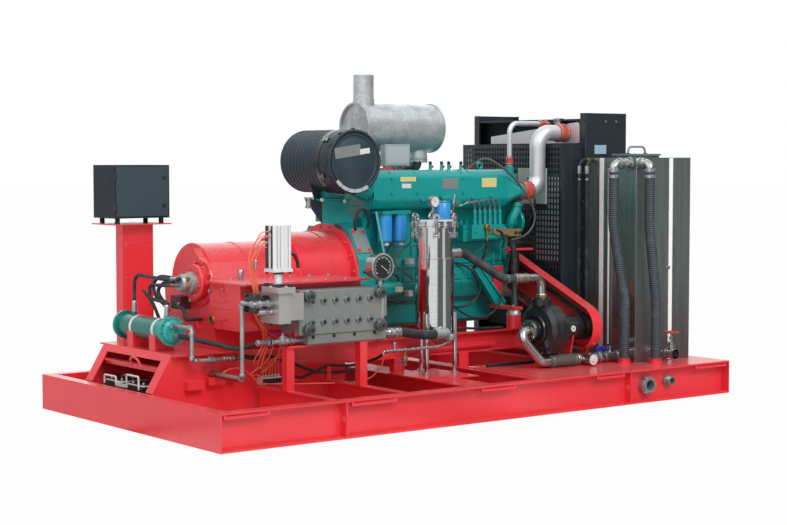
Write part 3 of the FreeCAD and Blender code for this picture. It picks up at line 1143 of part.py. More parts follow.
# The fan inside the shroud, on its own shaft from the front of the engine
fan_x = SHROUD_FACE_X + FAN_CHORD * 0.6
fan_parts = [rod("X", (ENGINE_FRONT_X + 70, fan_y, fan_z), fan_x - ENGINE_FRONT_X - 70, FAN_SHAFT_RADIUS)]
for index in range(FAN_BLADES):
    blade = box((-3, 3), (-FAN_CHORD / 2, FAN_CHORD / 2), (FAN_HUB_RADIUS - 15, FAN_RADIUS))
    blade.rotate(Vector(0, 0, 0), AXIS["Z"], FAN_PITCH)
    blade.rotate(Vector(0, 0, 0), AXIS["X"], index * 360 / FAN_BLADES)
    blade.translate(Vector(fan_x, fan_y, fan_z))
    fan_parts.append(blade)
fan_hub = rod("X", (fan_x - 40, fan_y, fan_z), 80, FAN_HUB_RADIUS)
export("drive_pulleys", fuse(shaft_nose, crank_pulley), fuse(pump_pulley, pump_wheel),
       fuse(fan_hub, *fan_parts))

plate = stadium(BELT_GUARD_PLATE_X, BELT_GUARD_PLATE_X + BELT_GUARD_SHEET, BELT_GUARD_RADIUS)
rim_left = BELT_GUARD_PLATE_X - BELT_GUARD_RIM
rim_loop = stadium(rim_left, BELT_GUARD_PLATE_X, BELT_GUARD_RADIUS).cut(
    stadium(rim_left - 1, BELT_GUARD_PLATE_X + 1, BELT_GUARD_RADIUS - BELT_GUARD_SHEET))
lower_cut = prism("X", rim_left - 2, BELT_GUARD_PLATE_X,
                  [(SHAFT_Y, SHAFT_Z), (BOOSTER_Y + 30, BOOSTER_Z + 10),
                   (BOOSTER_Y + 120, BOOSTER_Z - 380), (SHAFT_Y + 140, SHAFT_Z - 400)])
guard_leg = box((BELT_GUARD_PLATE_X, BELT_GUARD_PLATE_X + 16), (BOOSTER_Y - 5, BOOSTER_Y + 75),
                (BASE_HEIGHT, BOOSTER_Z))
guard = fuse(plate, rim_loop.cut(lower_cut), guard_leg)
export("belt_guard", guard)

# Suction line

suction = bent_rod([(BOOSTER_FACE_X, BOOSTER_Y, BOOSTER_Z), (BOOSTER_FACE_X - 132, BOOSTER_Y, BOOSTER_Z),
                    (BOOSTER_FACE_X + 48, LINE_Y, LINE_Z), (BOOSTER_FACE_X + 190, LINE_Y, LINE_Z)],
                   LINE_RADIUS, 52)
hose_start = BOOSTER_FACE_X + 190
hose_end = TEE_X - 70
tee = rod("X", (hose_end, LINE_Y, LINE_Z), VALVE_X - 50 - hose_end, LINE_RADIUS)
branch = rod("Y", (TEE_X, LINE_Y, LINE_Z), -TEE_BRANCH, LINE_RADIUS - 2)
cap = rod("Y", (TEE_X, LINE_Y - TEE_BRANCH + 20, LINE_Z), -26, LINE_RADIUS + 5)
tee = fuse(tee, branch, cap)

# Delivery: a steel bend on the booster pump, a hose to the filter, a hose back to the manifold
outlet_top = BOOSTER_Z + OUTLET_HEIGHT
delivery = bent_rod([(outlet_x, BOOSTER_Y, outlet_top), (outlet_x, BOOSTER_Y, DELIVERY_Z),
                     (DELIVERY_END_X, BOOSTER_Y, DELIVERY_Z)], WATER_PIPE_RADIUS, 70)
manifold_y = fluid_front_y + MANIFOLD_FRONT_INSET + MANIFOLD_DEPTH / 2
outlet_start = (FILTER_X - OUTLET_REACH, manifold_y, OUTLET_Z)
under_z = OUTLET_Z - 2 * OUTLET_BEND
filter_outlet = bent_rod([outlet_start, (FILTER_X, manifold_y, OUTLET_Z),
                          (FILTER_X, manifold_y, under_z), (FILTER_X, FILTER_Y, under_z),
                          (FILTER_X, FILTER_Y, FILTER_BOTTOM)], WATER_PIPE_RADIUS, OUTLET_BEND)
manifold_z = FLUID_BOTTOM - MANIFOLD_HEIGHT / 2
manifold_end = rod("X", (MANIFOLD_RIGHT_X, manifold_y, manifold_z), 90, WATER_PIPE_RADIUS)
export("water_pipes", suction, tee, delivery, manifold_end, filter_outlet)
inlet_end = FILTER_X + FILTER_RADIUS - FILTER_NECK + FILTER_NIPPLE
inlet_hose = bent_rod([(DELIVERY_END_X, BOOSTER_Y, DELIVERY_Z),
                       (DELIVERY_END_X - 110, BOOSTER_Y, DELIVERY_Z),
                       (inlet_end + 60, FILTER_Y, FILTER_INLET_Z),
                       (inlet_end, FILTER_Y, FILTER_INLET_Z)], WATER_HOSE_RADIUS, 90)
outlet_hose = bent_rod([(MANIFOLD_RIGHT_X + 90, manifold_y, manifold_z),
                        (MANIFOLD_RIGHT_X + 190, manifold_y, manifold_z),
                        (FILTER_X - OUTLET_REACH - 110, manifold_y, OUTLET_Z),
                        outlet_start], WATER_HOSE_RADIUS, 150)
straight = rod("X", (hose_start, LINE_Y, LINE_Z), hose_end - hose_start, RUBBER_RADIUS)
export("water_hoses", straight, inlet_hose, outlet_hose)

valve = rod("X", (VALVE_X - 50, LINE_Y, LINE_Z), 100, VALVE_BODY_RADIUS)
outlet = rod("X", (VALVE_X + 50, LINE_Y, LINE_Z), TANK_LEFT_X - VALVE_X - 50, LINE_RADIUS - 6)
valve_neck = rod("Z", (VALVE_X, LINE_Y, LINE_Z), VALVE_BODY_RADIUS + 14, 20)
stem = rod("Z", (VALVE_X, LINE_Y, LINE_Z), LEVER_Z + LEVER_THICKNESS + 8 - LINE_Z, STEM_RADIUS)
export("ball_valve", fuse(valve, outlet, valve_neck, stem))

lever = box((VALVE_X - LEVER_LENGTH, VALVE_X + 20), (LINE_Y - LEVER_WIDTH / 2, LINE_Y + LEVER_WIDTH / 2),
            (LEVER_Z, LEVER_Z + LEVER_THICKNESS))
lever = fuse(lever, rod("Z", (VALVE_X, LINE_Y, LEVER_Z), LEVER_THICKNESS, 19))
lever = lever.cut(rod("Z", (VALVE_X, LINE_Y, LEVER_Z - 1), LEVER_THICKNESS + 2, STEM_RADIUS + SEAT))
export("ball_valve_lever", lever)

# Water tank

shell = box((TANK_LEFT_X, TANK_RIGHT_X), (TANK_NEAR_Y, TANK_FAR_Y), (TANK_BOTTOM, TANK_TOP))
hollow = box((TANK_LEFT_X + TANK_WALL, TANK_RIGHT_X - TANK_WALL),
             (TANK_NEAR_Y + TANK_WALL, TANK_FAR_Y - TANK_WALL),
             (TANK_BOTTOM + TANK_WALL, TANK_TOP + 1))
export("tank_shell", shell.cut(hollow))
lid_x = (TANK_LEFT_X + TANK_RIGHT_X) / 2 - 20
lid_y = (TANK_NEAR_Y + TANK_FAR_Y) / 2
roof_top = TANK_TOP + ROOF_THICKNESS
lid_bottom = roof_top + HATCH_COLLAR
half_lid, half_depth = LID_LENGTH / 2, LID_WIDTH / 2
roof = box((TANK_LEFT_X, TANK_RIGHT_X), (TANK_NEAR_Y, TANK_FAR_Y), (TANK_TOP, roof_top))
collar = box((lid_x - half_lid + LID_OVERHANG, lid_x + half_lid - LID_OVERHANG),
             (lid_y - half_depth + LID_OVERHANG, lid_y + half_depth - LID_OVERHANG),
             (roof_top, lid_bottom))
export("tank_roof", fuse(roof, collar))
lid = box((lid_x - half_lid, lid_x + half_lid), (lid_y - half_depth, lid_y + half_depth),
          (lid_bottom, lid_bottom + LID_THICKNESS))
grip_z = lid_bottom + LID_THICKNESS
grip = bent_rod([(lid_x - 95, lid_y, grip_z), (lid_x - 85, lid_y, grip_z + GRIP_HEIGHT),
                 (lid_x + 85, lid_y, grip_z + GRIP_HEIGHT), (lid_x + 95, lid_y, grip_z)], 8, 36)
export("tank_lid", fuse(lid, grip))

# Two large hoses beside the tank, with their elbows and deck sockets
drop = TANK_PORT_Z - 62
(one_x, one_y), (two_x, two_y) = HOSE_TOPS
elbow_one = bent_rod([(TANK_LEFT_X, one_y, TANK_PORT_Z), (one_x, one_y, TANK_PORT_Z),
                      (one_x, one_y, drop)], ELBOW_RADIUS, 45)
elbow_two = bent_rod([(two_x, TANK_NEAR_Y, TANK_PORT_Z), (two_x, two_y, TANK_PORT_Z),
                      (two_x, two_y, drop)], ELBOW_RADIUS, 45)
export("tank_elbows", elbow_one, elbow_two)

hoses = []
for (top_x, top_y), (base_x, base_y) in zip(HOSE_TOPS, HOSE_SOCKETS):
    hoses.append(bent_rod([(top_x, top_y, drop), (top_x, top_y, 1300), (base_x, base_y, 720),
                           (base_x, base_y, BASE_HEIGHT + SOCKET_HEIGHT)], TANK_HOSE_RADIUS, 900))
export("tank_hoses", *hoses)

# Gate valve on the near wall of the tank
gate_y = TANK_NEAR_Y - 110
nipple = rod("Y", (GATE_X, TANK_NEAR_Y, GATE_Z), gate_y + GATE_BODY_LENGTH / 2 - TANK_NEAR_Y, 24)
body = rod("Y", (GATE_X, gate_y + GATE_BODY_LENGTH / 2, GATE_Z), -GATE_BODY_LENGTH, GATE_BODY_RADIUS)
bonnet = rod("Z", (GATE_X, gate_y, GATE_Z), 92, 24)
bonnet_nut = rod("Z", (GATE_X, gate_y, GATE_Z + 50), 22, 31)
gate_stem = rod("Z", (GATE_X, gate_y, GATE_Z), GATE_WHEEL_Z + 16 - GATE_Z, STEM_RADIUS - 1)
gate = fuse(nipple, body, bonnet, bonnet_nut, gate_stem)
gate = gate.cut(rod("Y", (GATE_X, gate_y - GATE_BODY_LENGTH / 2, GATE_Z), 70, GATE_BORE))
export("gate_valve", gate)
wheel = Part.makeTorus(GATE_WHEEL_RADIUS - GATE_RIM_RADIUS, GATE_RIM_RADIUS,
                       Vector(GATE_X, gate_y, GATE_WHEEL_Z + 6), AXIS["Z"])
wheel_hub = rod("Z", (GATE_X, gate_y, GATE_WHEEL_Z), 12, 17)
spokes = []
for index in range(4):
    spoke = box((GATE_X + 10, GATE_X + GATE_WHEEL_RADIUS - GATE_RIM_RADIUS),
                (gate_y - 5, gate_y + 5), (GATE_WHEEL_Z + 3, GATE_WHEEL_Z + 9))
    spoke.rotate(Vector(GATE_X, gate_y, 0), AXIS["Z"], 90 * index + 45)
    spokes.append(spoke)
wheel = fuse(wheel, wheel_hub, *spokes)
wheel = wheel.cut(rod("Z", (GATE_X, gate_y, GATE_WHEEL_Z - 2), 20, STEM_RADIUS - 1 + SEAT))
export("gate_handwheel", wheel)

# Bag filter

filter_body = turned("Z", (FILTER_X, FILTER_Y, FILTER_BOTTOM),
                     [(0, 0), (0, FILTER_RADIUS - 40), (22, FILTER_RADIUS),
                      (FILTER_SEAM - FILTER_BOTTOM, FILTER_RADIUS),
                      (FILTER_SEAM - FILTER_BOTTOM, FILTER_RADIUS - FILTER_NECK),
                      (FILTER_TOP - FILTER_BOTTOM - 30, FILTER_RADIUS - FILTER_NECK),
                      (FILTER_TOP - FILTER_BOTTOM - 30, FILTER_RADIUS + 14),
                      (FILTER_TOP - FILTER_BOTTOM, FILTER_RADIUS + 14), (FILTER_TOP - FILTER_BOTTOM, 0)])
filter_inlet = rod("X", (FILTER_X, FILTER_Y, FILTER_INLET_Z), inlet_end - FILTER_X, WATER_PIPE_RADIUS)
legs = []
for angle in FILTER_LEG_ANGLES:
    x = FILTER_X + FILTER_LEG_CIRCLE * math.cos(math.radians(angle))
    y = FILTER_Y + FILTER_LEG_CIRCLE * math.sin(math.radians(angle))
    legs.append(rod("Z", (x, y, BASE_HEIGHT + DECK_THICKNESS),
                    FILTER_BOTTOM + 160 - BASE_HEIGHT - DECK_THICKNESS, FILTER_LEG_RADIUS))
export("bag_filter", fuse(filter_body, filter_inlet, *legs))
filter_lid = turned("Z", (FILTER_X, FILTER_Y, FILTER_TOP),
                    [(0, 0), (0, FILTER_RADIUS + 12), (FILTER_LID - 12, FILTER_RADIUS + 12),
                     (FILTER_LID, FILTER_RADIUS - 6), (FILTER_LID, 0)])
export("filter_lid", filter_lid)

# Drain pipe beside the discharge block, from the block's left face down and back to the pedestal
low = DRAIN_PIPE_TOP - DRAIN_PIPE_DROP
drain_run = bent_rod([(DISCHARGE_LEFT_X, DISCHARGE_FRONT_Y + 60, DRAIN_PIPE_TOP),
                      (DRAIN_PIPE_X, DISCHARGE_FRONT_Y + 60, DRAIN_PIPE_TOP),
                      (DRAIN_PIPE_X, DRAIN_PIPE_Y, DRAIN_PIPE_TOP),
                      (DRAIN_PIPE_X, DRAIN_PIPE_Y, low),
                      (DRAIN_PIPE_X, PEDESTAL_NEAR_Y, low)], DRAIN_PIPE_RADIUS, 22)
valve_end_x = MANIFOLD_LEFT_X - 250
relief = rod("X", (valve_end_x, manifold_y, manifold_z), 250, 17)
relief = fuse(relief, rod("X", (valve_end_x + 60, manifold_y, manifold_z), 64, 25))
upper_port_z, lower_port_z = COOLER_Z + 38, COOLER_Z - 28
return_y, return_z = COOLER_NEAR_Y - RETURN_REACH, upper_port_z - RETURN_DROP
cooler_return = bent_rod([(COOLER_X + 10, COOLER_NEAR_Y, upper_port_z),
                          (COOLER_X + 10, return_y, upper_port_z), (COOLER_X + 10, return_y, return_z),
                          (RETURN_END_X, return_y, return_z)], DRAIN_PIPE_RADIUS, 28)
export("drain_pipes", drain_run, relief, cooler_return)

# Hydraulic and lubrication hoses
lube_left_x = cap_end_x - LUBE_LENGTH
supply = bent_rod([(COOLER_X, port_far_y, cooler_top), (COOLER_X, port_far_y, 1000),
                   (COOLER_X, CAP_Y, CAP_Z + 30), (lube_left_x, CAP_Y, CAP_Z + 30)], 13, 70)
back = bent_rod([(COOLER_X, port_near_y, cooler_top), (COOLER_X, port_near_y, cooler_top + 90),
                 (COOLER_X - 30, port_near_y + 180, cooler_top + 110),
                 (COOLER_X - 30, port_near_y + 180, CAP_Z - 12),
                 (COOLER_X + 10, CAP_Y, CAP_Z - 12), (lube_left_x, CAP_Y, CAP_Z - 12)], 12, 28)
block_x = CASE_LEFT_X - VALVE_BLOCK_DEPTH
branch_z = VALVE_BLOCK_Z[0] + 30
branch = bent_rod([(block_x, SHAFT_Y - 40, branch_z), (block_x - 60, SHAFT_Y - 40, branch_z),
                   (block_x - 60, CAP_Y - 10, branch_z - 10), (block_x - 60, CAP_Y - 10, CASE_PORT_Z),
                   (CASE_LEFT_X, CAP_Y - 10, CASE_PORT_Z)], 11, 34)
feed = bent_rod([(COOLER_X + 10, COOLER_NEAR_Y, lower_port_z),
                 (COOLER_X + 10, COOLER_NEAR_Y - 92, lower_port_z),
                 (COOLER_X + 250, -480, 542), (valve_end_x - 70, manifold_y, manifold_z),
                 (valve_end_x, manifold_y, manifold_z)], 17, 60)
onward = bent_rod([(RETURN_END_X, return_y, return_z), (RETURN_END_X + 120, return_y, return_z),
                   (RETURN_END_X + 240, return_y, return_z - 18),
                   (RETURN_END_X + 240, PEDESTAL_NEAR_Y, return_z - 18)], DRAIN_PIPE_RADIUS, 40)
line_x = TANK_LEFT_X - TANK_LINE_REACH
tank_lines = [bent_rod([(TANK_LEFT_X, y, TANK_LINE_Z), (line_x, y, TANK_LINE_Z),
                        (line_x, y, BASE_HEIGHT)], 13, 60) for y in TANK_LINES_Y]
export("hydraulic_hoses", supply, back, branch, feed, onward, *tank_lines)
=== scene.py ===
import json
import math

import bmesh
import bpy
import numpy as np
from mathutils import Euler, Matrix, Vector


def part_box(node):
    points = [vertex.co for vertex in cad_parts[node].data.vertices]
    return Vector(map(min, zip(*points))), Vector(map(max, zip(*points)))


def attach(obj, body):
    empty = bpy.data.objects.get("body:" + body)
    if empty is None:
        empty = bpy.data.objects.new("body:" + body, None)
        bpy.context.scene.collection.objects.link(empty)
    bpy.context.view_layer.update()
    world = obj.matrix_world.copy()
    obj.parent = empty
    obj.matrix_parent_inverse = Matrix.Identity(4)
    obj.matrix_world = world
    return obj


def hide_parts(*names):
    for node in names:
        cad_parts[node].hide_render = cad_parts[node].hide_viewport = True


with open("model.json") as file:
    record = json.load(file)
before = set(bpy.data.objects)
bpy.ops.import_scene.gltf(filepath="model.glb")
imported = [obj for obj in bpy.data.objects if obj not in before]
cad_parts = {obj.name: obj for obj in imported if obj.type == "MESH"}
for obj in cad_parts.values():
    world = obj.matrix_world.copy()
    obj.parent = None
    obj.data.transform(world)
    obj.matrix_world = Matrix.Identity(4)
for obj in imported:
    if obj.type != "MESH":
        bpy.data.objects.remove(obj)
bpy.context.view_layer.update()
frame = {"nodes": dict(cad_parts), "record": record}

# Finish and fine detail of the high-pressure pump skid. Metres, in the frame of the solids: +X runs
# from the pump end to the radiator end, -Y is the side with the fluid end, the floor is at z 0.

# Shapes: every surface is a pair of points and faces, worked out as whole arrays

AXES = {"X": np.eye(3)[[0, 1, 2]], "Y": np.eye(3)[[1, 2, 0]], "Z": np.eye(3)[[2, 0, 1]]}
# A way that no pipe runs along: the circles along a path are squared with it
LEAN = np.array([0.31, 0.52, 0.795])
SHARP_ANGLE, BEVEL_ANGLE = math.radians(38), math.radians(40)
SAME_POINT = 1e-5


def unit(vectors):
    """The same ways, each one metre long."""
    return vectors / np.linalg.norm(vectors, axis=-1, keepdims=True)


def grid(points, round_u=False, round_v=False):
    """Quads between rows of points; a round way joins its last line to its first."""
    rows, columns = points.shape[:2]
    number = np.arange(rows * columns).reshape(rows, columns)
    if round_u:
        number = np.concatenate([number, number[:1]])
    if round_v:
        number = np.concatenate([number, number[:, :1]], axis=1)
    faces = np.stack([number[:-1, :-1], number[1:, :-1], number[1:, 1:], number[:-1, 1:]], axis=-1)
    return points.reshape(-1, 3), faces.reshape(-1, 4).tolist()


def lathe(axis, start, profile, steps=32, hoop=False, phase=0.0):
    """(along, radius) pairs swung round an axis: start + along * axis + radius * (cos t, sin t)."""
    along, first, second = AXES[axis]
    pairs = np.array(profile, float)
    t = np.arange(steps) * 2 * np.pi / steps + phase
    around = np.cos(t)[:, None] * first + np.sin(t)[:, None] * second
    points = np.array(start) + pairs[:, 0, None, None] * along + pairs[:, 1, None, None] * around
    return grid(points, round_u=hoop, round_v=True)


def turned(axis, start, profile, steps):
    """A solid turned round an axis: its profile is closed to the axis at both ends."""
    return lathe(axis, start, [(profile[0][0], 0), *profile, (profile[-1][0], 0)], steps)


def stepped(axis, start, steps, *runs):
    """A shaft in steps, each run given as where it ends and its radius."""
    ends = [0] + [end for end, _ in runs]
    return turned(axis, start, [(at, radius) for low, (end, radius) in zip(ends, runs)
                                for at in (low, end)], steps)


def ring(axis, start, profile, steps):
    """A ring round an axis: its profile is closed on itself."""
    return lathe(axis, start, profile, steps, hoop=True)


def washer(axis, start, length, inside, outside, steps):
    """A ring with square edges, from its inner radius to its outer one."""
    return ring(axis, start, [(0, inside), (0, outside), (length, outside), (length, inside)], steps)


def disc(axis, start, length, radius, steps=24, edge=0.15):
    """A short cylinder whose far rim is turned in by a share of its length."""
    cut = abs(length) * edge
    return lathe(axis, start, [(0, 0), (0, radius), (length * (1 - edge), radius),
                               (length, radius - cut), (length, 0)], steps)


def carried(path, radius, steps=12):
    """A circle carried square along a path, its radius one number or one a point, ends closed."""
    path = np.array(path, float)
    ahead = unit(np.gradient(path, axis=0))
    side = unit(np.cross(ahead, LEAN))
    above = np.cross(side, ahead)
    t = np.arange(steps) * 2 * np.pi / steps
    around = np.cos(t)[:, None] * side[:, None] + np.sin(t)[:, None] * above[:, None]
    points = path[:, None] + np.broadcast_to(radius, len(path))[:, None, None] * around
    ends = [np.repeat(path[end][None, None], steps, axis=1) for end in (0, -1)]
    return grid(np.concatenate([ends[0], points, ends[1]]), round_v=True)


def bent(points, bend, steps=6):
    """A line of straight runs whose corners are arcs of one radius, tangent to both runs."""
    points = np.array(points, float)
    line = [points[:1]]
    for before, corner, after in zip(points, points[1:], points[2:]):
        back, ahead = unit(before - corner), unit(after - corner)
        half = math.acos(np.clip(-back @ ahead, -1, 1)) / 2
        setback = min(bend * math.tan(half), 0.45 * np.linalg.norm(before - corner),
                      0.45 * np.linalg.norm(after - corner))
        centre = corner + unit(back + ahead) * setback / math.sin(half)
        first, last = corner + back * setback - centre, corner + ahead * setback - centre
        share = np.linspace(0, 1, steps + 1)[:, None]
        turn = 2 * half
        arc = (np.sin((1 - share) * turn) * first + np.sin(share * turn) * last) / math.sin(turn)
        line.append(centre + arc)
    return np.concatenate(line + [points[-1:]])


def curved(points, steps=8):
    """A smooth line through points: a cubic on each stretch, its slopes set by the neighbours."""
    points = np.array(points, float)
    whole = np.concatenate([2 * points[:1] - points[1:2], points, 2 * points[-1:] - points[-2:-1]])
    t = np.linspace(0, 1, steps, endpoint=False)[:, None]
    a, b, c, d = (whole[index:index + len(points) - 1, None] for index in range(4))
    line = (2 * b + (c - a) * t + (2 * a - 5 * b + 4 * c - d) * t ** 2
            + (3 * b - a - 3 * c + d) * t ** 3) / 2
    return np.concatenate([line.reshape(-1, 3), points[-1:]])


def cord(points, radius, steps=10, smooth=8):
    """A round cord along the smooth line through some points."""
    return carried(curved(points, smooth), radius, steps)


def block(low, high):
    """The eight corners of a box: low + (high - low) * (0 or 1 on each axis), and its six faces."""
    corners = np.array([[x, y, z] for x in (0, 1) for y in (0, 1) for z in (0, 1)])
    low, high = np.minimum(low, high), np.maximum(low, high)
    faces = [[0, 1, 3, 2], [4, 6, 7, 5], [0, 4, 5, 1], [2, 3, 7, 6], [0, 2, 6, 4], [1, 5, 7, 3]]
    return low + (high - low) * corners, faces


def slab(axis, low, high, outline):
    """An outline across an axis, one copy at low and one at high, with a wall between them."""
    along, first, second = AXES[axis]
    if axis == "Y":
        first, second = second, first
    pairs = np.array(outline, float)
    flat = pairs[:, :1] * first + pairs[:, 1:] * second
    count = len(pairs)
    wall = [[index, (index + 1) % count, (index + 1) % count + count, index + count]
            for index in range(count)]
    faces = wall + [list(range(count)), list(range(count, 2 * count))]
    return np.concatenate([flat + low * along, flat + high * along]), faces


def many(surface, places):
    """Copies of a surface, one at each place."""
    points, faces = surface
    places = np.array(places, float)
    moved = (points[None] + places[:, None]).reshape(-1, 3)
    return moved, [[corner + copy * len(points) for corner in face]
                   for copy in range(len(places)) for face in faces]


def swung(surface, axis, centre, angles):
    """Copies of a surface turned round a line along an axis, one at each angle in degrees."""
    points, faces = surface
    along, first, second = AXES[axis]
    turn = np.radians(np.array(angles, float))[:, None, None]
    centre = np.array(centre, float)
    x, y, z = ((points - centre) @ way for way in (first, second, along))
    x, y, z = x[None, :, None], y[None, :, None], z[None, :, None]
    moved = centre + ((x * np.cos(turn) - y * np.sin(turn)) * first
                      + (x * np.sin(turn) + y * np.cos(turn)) * second + z * along)
    return moved.reshape(-1, 3), [[corner + copy * len(points) for corner in face]
                                  for copy in range(len(angles)) for face in faces]


def marks(centre, low, high, angles):
    """A box given from a centre, copied round the line along Y through it."""
    return swung(many(block(low, high), [centre]), "Y", centre, angles)


def circle_of(axis, centre, radius, count, phase=0.0):
    """Places evenly round a circle across an axis."""
    _, first, second = AXES[axis]
    t = np.arange(count) * 2 * np.pi / count + math.radians(phase)
    return np.array(centre) + radius * (np.cos(t)[:, None] * first + np.sin(t)[:, None] * second)


def hexes(axis, places, radius, height):
    """Six-sided heads with a chamfered top, standing up or down the axis."""
    return many(lathe(axis, (0, 0, 0), [(0, 0), (0, radius), (height * 0.75, radius),
                                        (height, radius * 0.85), (height, 0)], 6), places)


def rows(*ranges):
    """Every place of a box-shaped pattern: all x, y and z taken together."""
    return np.stack(np.meshgrid(*ranges, indexing="ij"), axis=-1).reshape(-1, 3)


def band(centre, way, radius, width, steps=20):
    """A clamp about a pipe that runs along an axis or a given way, its edges turned in."""
    centre, way = np.array(centre, float), AXES[way][0] if way in AXES else unit(np.array(way, float))
    share = np.array([-0.5, -0.42, 0.42, 0.5])[:, None]
    return carried(centre + share * way * width, np.array([0.96, 1, 1, 0.96]) * radius, steps)


def piece(name, finish, *surfaces, body="skid", edge=0.0, stands_for=()):
    """One object from its surfaces: shared points merged, faces outwards, edges kept or rounded."""
    points = np.concatenate([points for points, _ in surfaces])
    offsets = np.cumsum([0] + [len(own) for own, _ in surfaces])
    faces = [[corner + int(offset) for corner in face]
             for (_, own), offset in zip(surfaces, offsets) for face in own]
    mesh = bpy.data.meshes.new(name)
    mesh.from_pydata(points.tolist(), [], faces)
    work = bmesh.new()
    work.from_mesh(mesh)
    bmesh.ops.remove_doubles(work, verts=work.verts, dist=SAME_POINT)
    bmesh.ops.recalc_face_normals(work, faces=work.faces)
    work.to_mesh(mesh)
    work.free()
    mesh.shade_smooth()
    mesh.set_sharp_from_angle(angle=SHARP_ANGLE)
    mesh.materials.append(finish.material)
    made = bpy.data.objects.new(name, mesh)
    bpy.context.scene.collection.objects.link(made)
    if edge:
        soften = made.modifiers.new("soft_edges", "BEVEL")
        soften.width, soften.segments = edge, 2
        soften.limit_method, soften.angle_limit = "ANGLE", BEVEL_ANGLE
    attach(made, body)
    if stands_for:
        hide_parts(*stands_for)
    return made


# Materials: a Field is a number that changes over a surface, and sums on it add Math nodes


class Field:
    """A node socket in an expression."""

    def __init__(self, nodes, socket):
        self.nodes, self.socket = nodes, socket

    def sum(self, operation, first, second):
        return self.nodes.node("ShaderNodeMath", {"operation": operation}, {0: first, 1: second})

    def __add__(self, other):
        return self.sum("ADD", self, other)

    def __sub__(self, other):
        return self.sum("SUBTRACT", self, other)

    def __rsub__(self, other):
        return self.sum("SUBTRACT", other, self)

    def __mul__(self, other):
        return self.sum("MULTIPLY", self, other)

    __radd__, __rmul__ = __add__, __mul__


class Nodes:
    """A node tree, with one way to add a node."""

    def __init__(self, tree):
        self.tree = tree

    def put(self, socket, value):
        if isinstance(value, Field):
            self.tree.links.new(value.socket, socket)
        else:
            socket.default_value = value

    def node(self, kind, settings, sockets, out=0):
        """A node: its settings first, then the value or link of each socket; gives one output."""
        made = self.tree.nodes.new(kind)
        for name, value in settings.items():
            setattr(made, name, value)
        for name, value in sockets.items():
            self.put(made.inputs[name], value)
        return Field(self, made.outputs[out])


def tint(code, share=1.0):
    """The scene's own colour values for a six-figure colour code, scaled by a share."""
    parts = [int(code[index:index + 2], 16) / 255 for index in (1, 3, 5)]
    plain = [part / 12.92 if part <= 0.04045 else ((part + 0.055) / 1.055) ** 2.4 for part in parts]
    return [min(part * share, 1.0) for part in plain] + [1.0]


class Finish(Nodes):
    """A material: a shader with its even values set on its own sockets, and its patterns."""

    def __init__(self, name, slot, **even):
        self.material = bpy.data.materials.new(name)
        self.material.use_nodes = True
        super().__init__(self.material.node_tree)
        self.slot, self.shader = slot, self.tree.nodes["Principled BSDF"]
        for socket, value in even.items():
            self.shader.inputs[socket.replace("_", " ")].default_value = value
        self.spot = self.node("ShaderNodeTexCoord", {}, {}, "Object")

    def part(self, way):
        """How far along X, Y or Z the point lies."""
        return self.node("ShaderNodeSeparateXYZ", {}, {0: self.spot}, "XYZ".index(way))

    def facing_up(self):
        """1 where the surface looks at the sky, -1 where it looks at the ground."""
        normal = self.node("ShaderNodeNewGeometry", {}, {}, "Normal")
        return self.node("ShaderNodeSeparateXYZ", {}, {0: normal}, 2)

    def noise(self, scale, detail=2.0, stretch=(1, 1, 1)):
        """A cloudy pattern from 0 to 1, drawn out along an axis whose stretch is below 1."""
        spot = self.node("ShaderNodeMapping", {}, {"Vector": self.spot, "Scale": stretch})
        return self.node("ShaderNodeTexNoise", {},
                         {"Vector": spot, "Scale": scale, "Detail": detail})

    def cells(self, scale):
        """How far the point lies from the middle of its own grain."""
        return self.node("ShaderNodeTexVoronoi", {}, {"Vector": self.spot, "Scale": scale})

    def step(self, value, low, high):
        """0 below low, 1 above high, and a soft rise between."""
        return self.node("ShaderNodeMapRange", {"interpolation_type": "SMOOTHSTEP"},
                         {"Value": value, "From Min": low, "From Max": high})

    def mix(self, share, first, second):
        return self.node("ShaderNodeMix", {"data_type": "RGBA"}, {0: share, 6: first, 7: second}, 2)

    def wave(self, way, pitch):
        """A smooth ripple from 0 to 1 along X, Y or Z."""
        angle = self.part(way) * (2 * math.pi / pitch)
        return self.node("ShaderNodeMath", {"operation": "SINE"}, {0: angle}) * 0.5 + 0.5

    def colour(self, value):
        self.put(self.shader.inputs["Base Color"], value)

    def rough(self, value):
        self.put(self.shader.inputs["Roughness"], value)

    def relief(self, height, strength=0.2, depth=0.001):
        bump = self.node("ShaderNodeBump", {}, {"Strength": strength, "Distance": depth,
                                                "Height": height})
        self.put(self.shader.inputs["Normal"], bump)


def paint(name, slot, code, rough=0.32, coat=0.3, dust=0.35, peel=0.12, cast=0.0):
    """Sprayed paint: slow drift of tone, dust on what faces up, small chips, orange peel."""
    made = Finish(name, slot, Coat_Weight=coat, Coat_Roughness=0.15)
    tone = made.mix(made.noise(1.7, 3.0), tint(code, 0.86), tint(code, 1.12))
    fine = made.noise(38.0, 3.0)
    settled = made.step(made.facing_up(), 0.55, 0.98) * made.step(fine, 0.35, 0.75) * dust
    tone = made.mix(settled, tone, tint("#B9A49A"))
    scuffs = made.step(made.noise(24.0, 4.0, (1, 1, 0.35)), 0.68, 0.74) * 0.3
    made.colour(made.mix(scuffs, tone, tint(code, 0.55)))
    made.rough(made.noise(9.0, 3.0) * 0.16 + settled * 0.3 + (rough - 0.08))
    skin = made.noise(330.0, 2.0)
    made.relief(skin + made.noise(90.0, 4.0) * cast if cast else skin, peel, 0.0008)
    return made


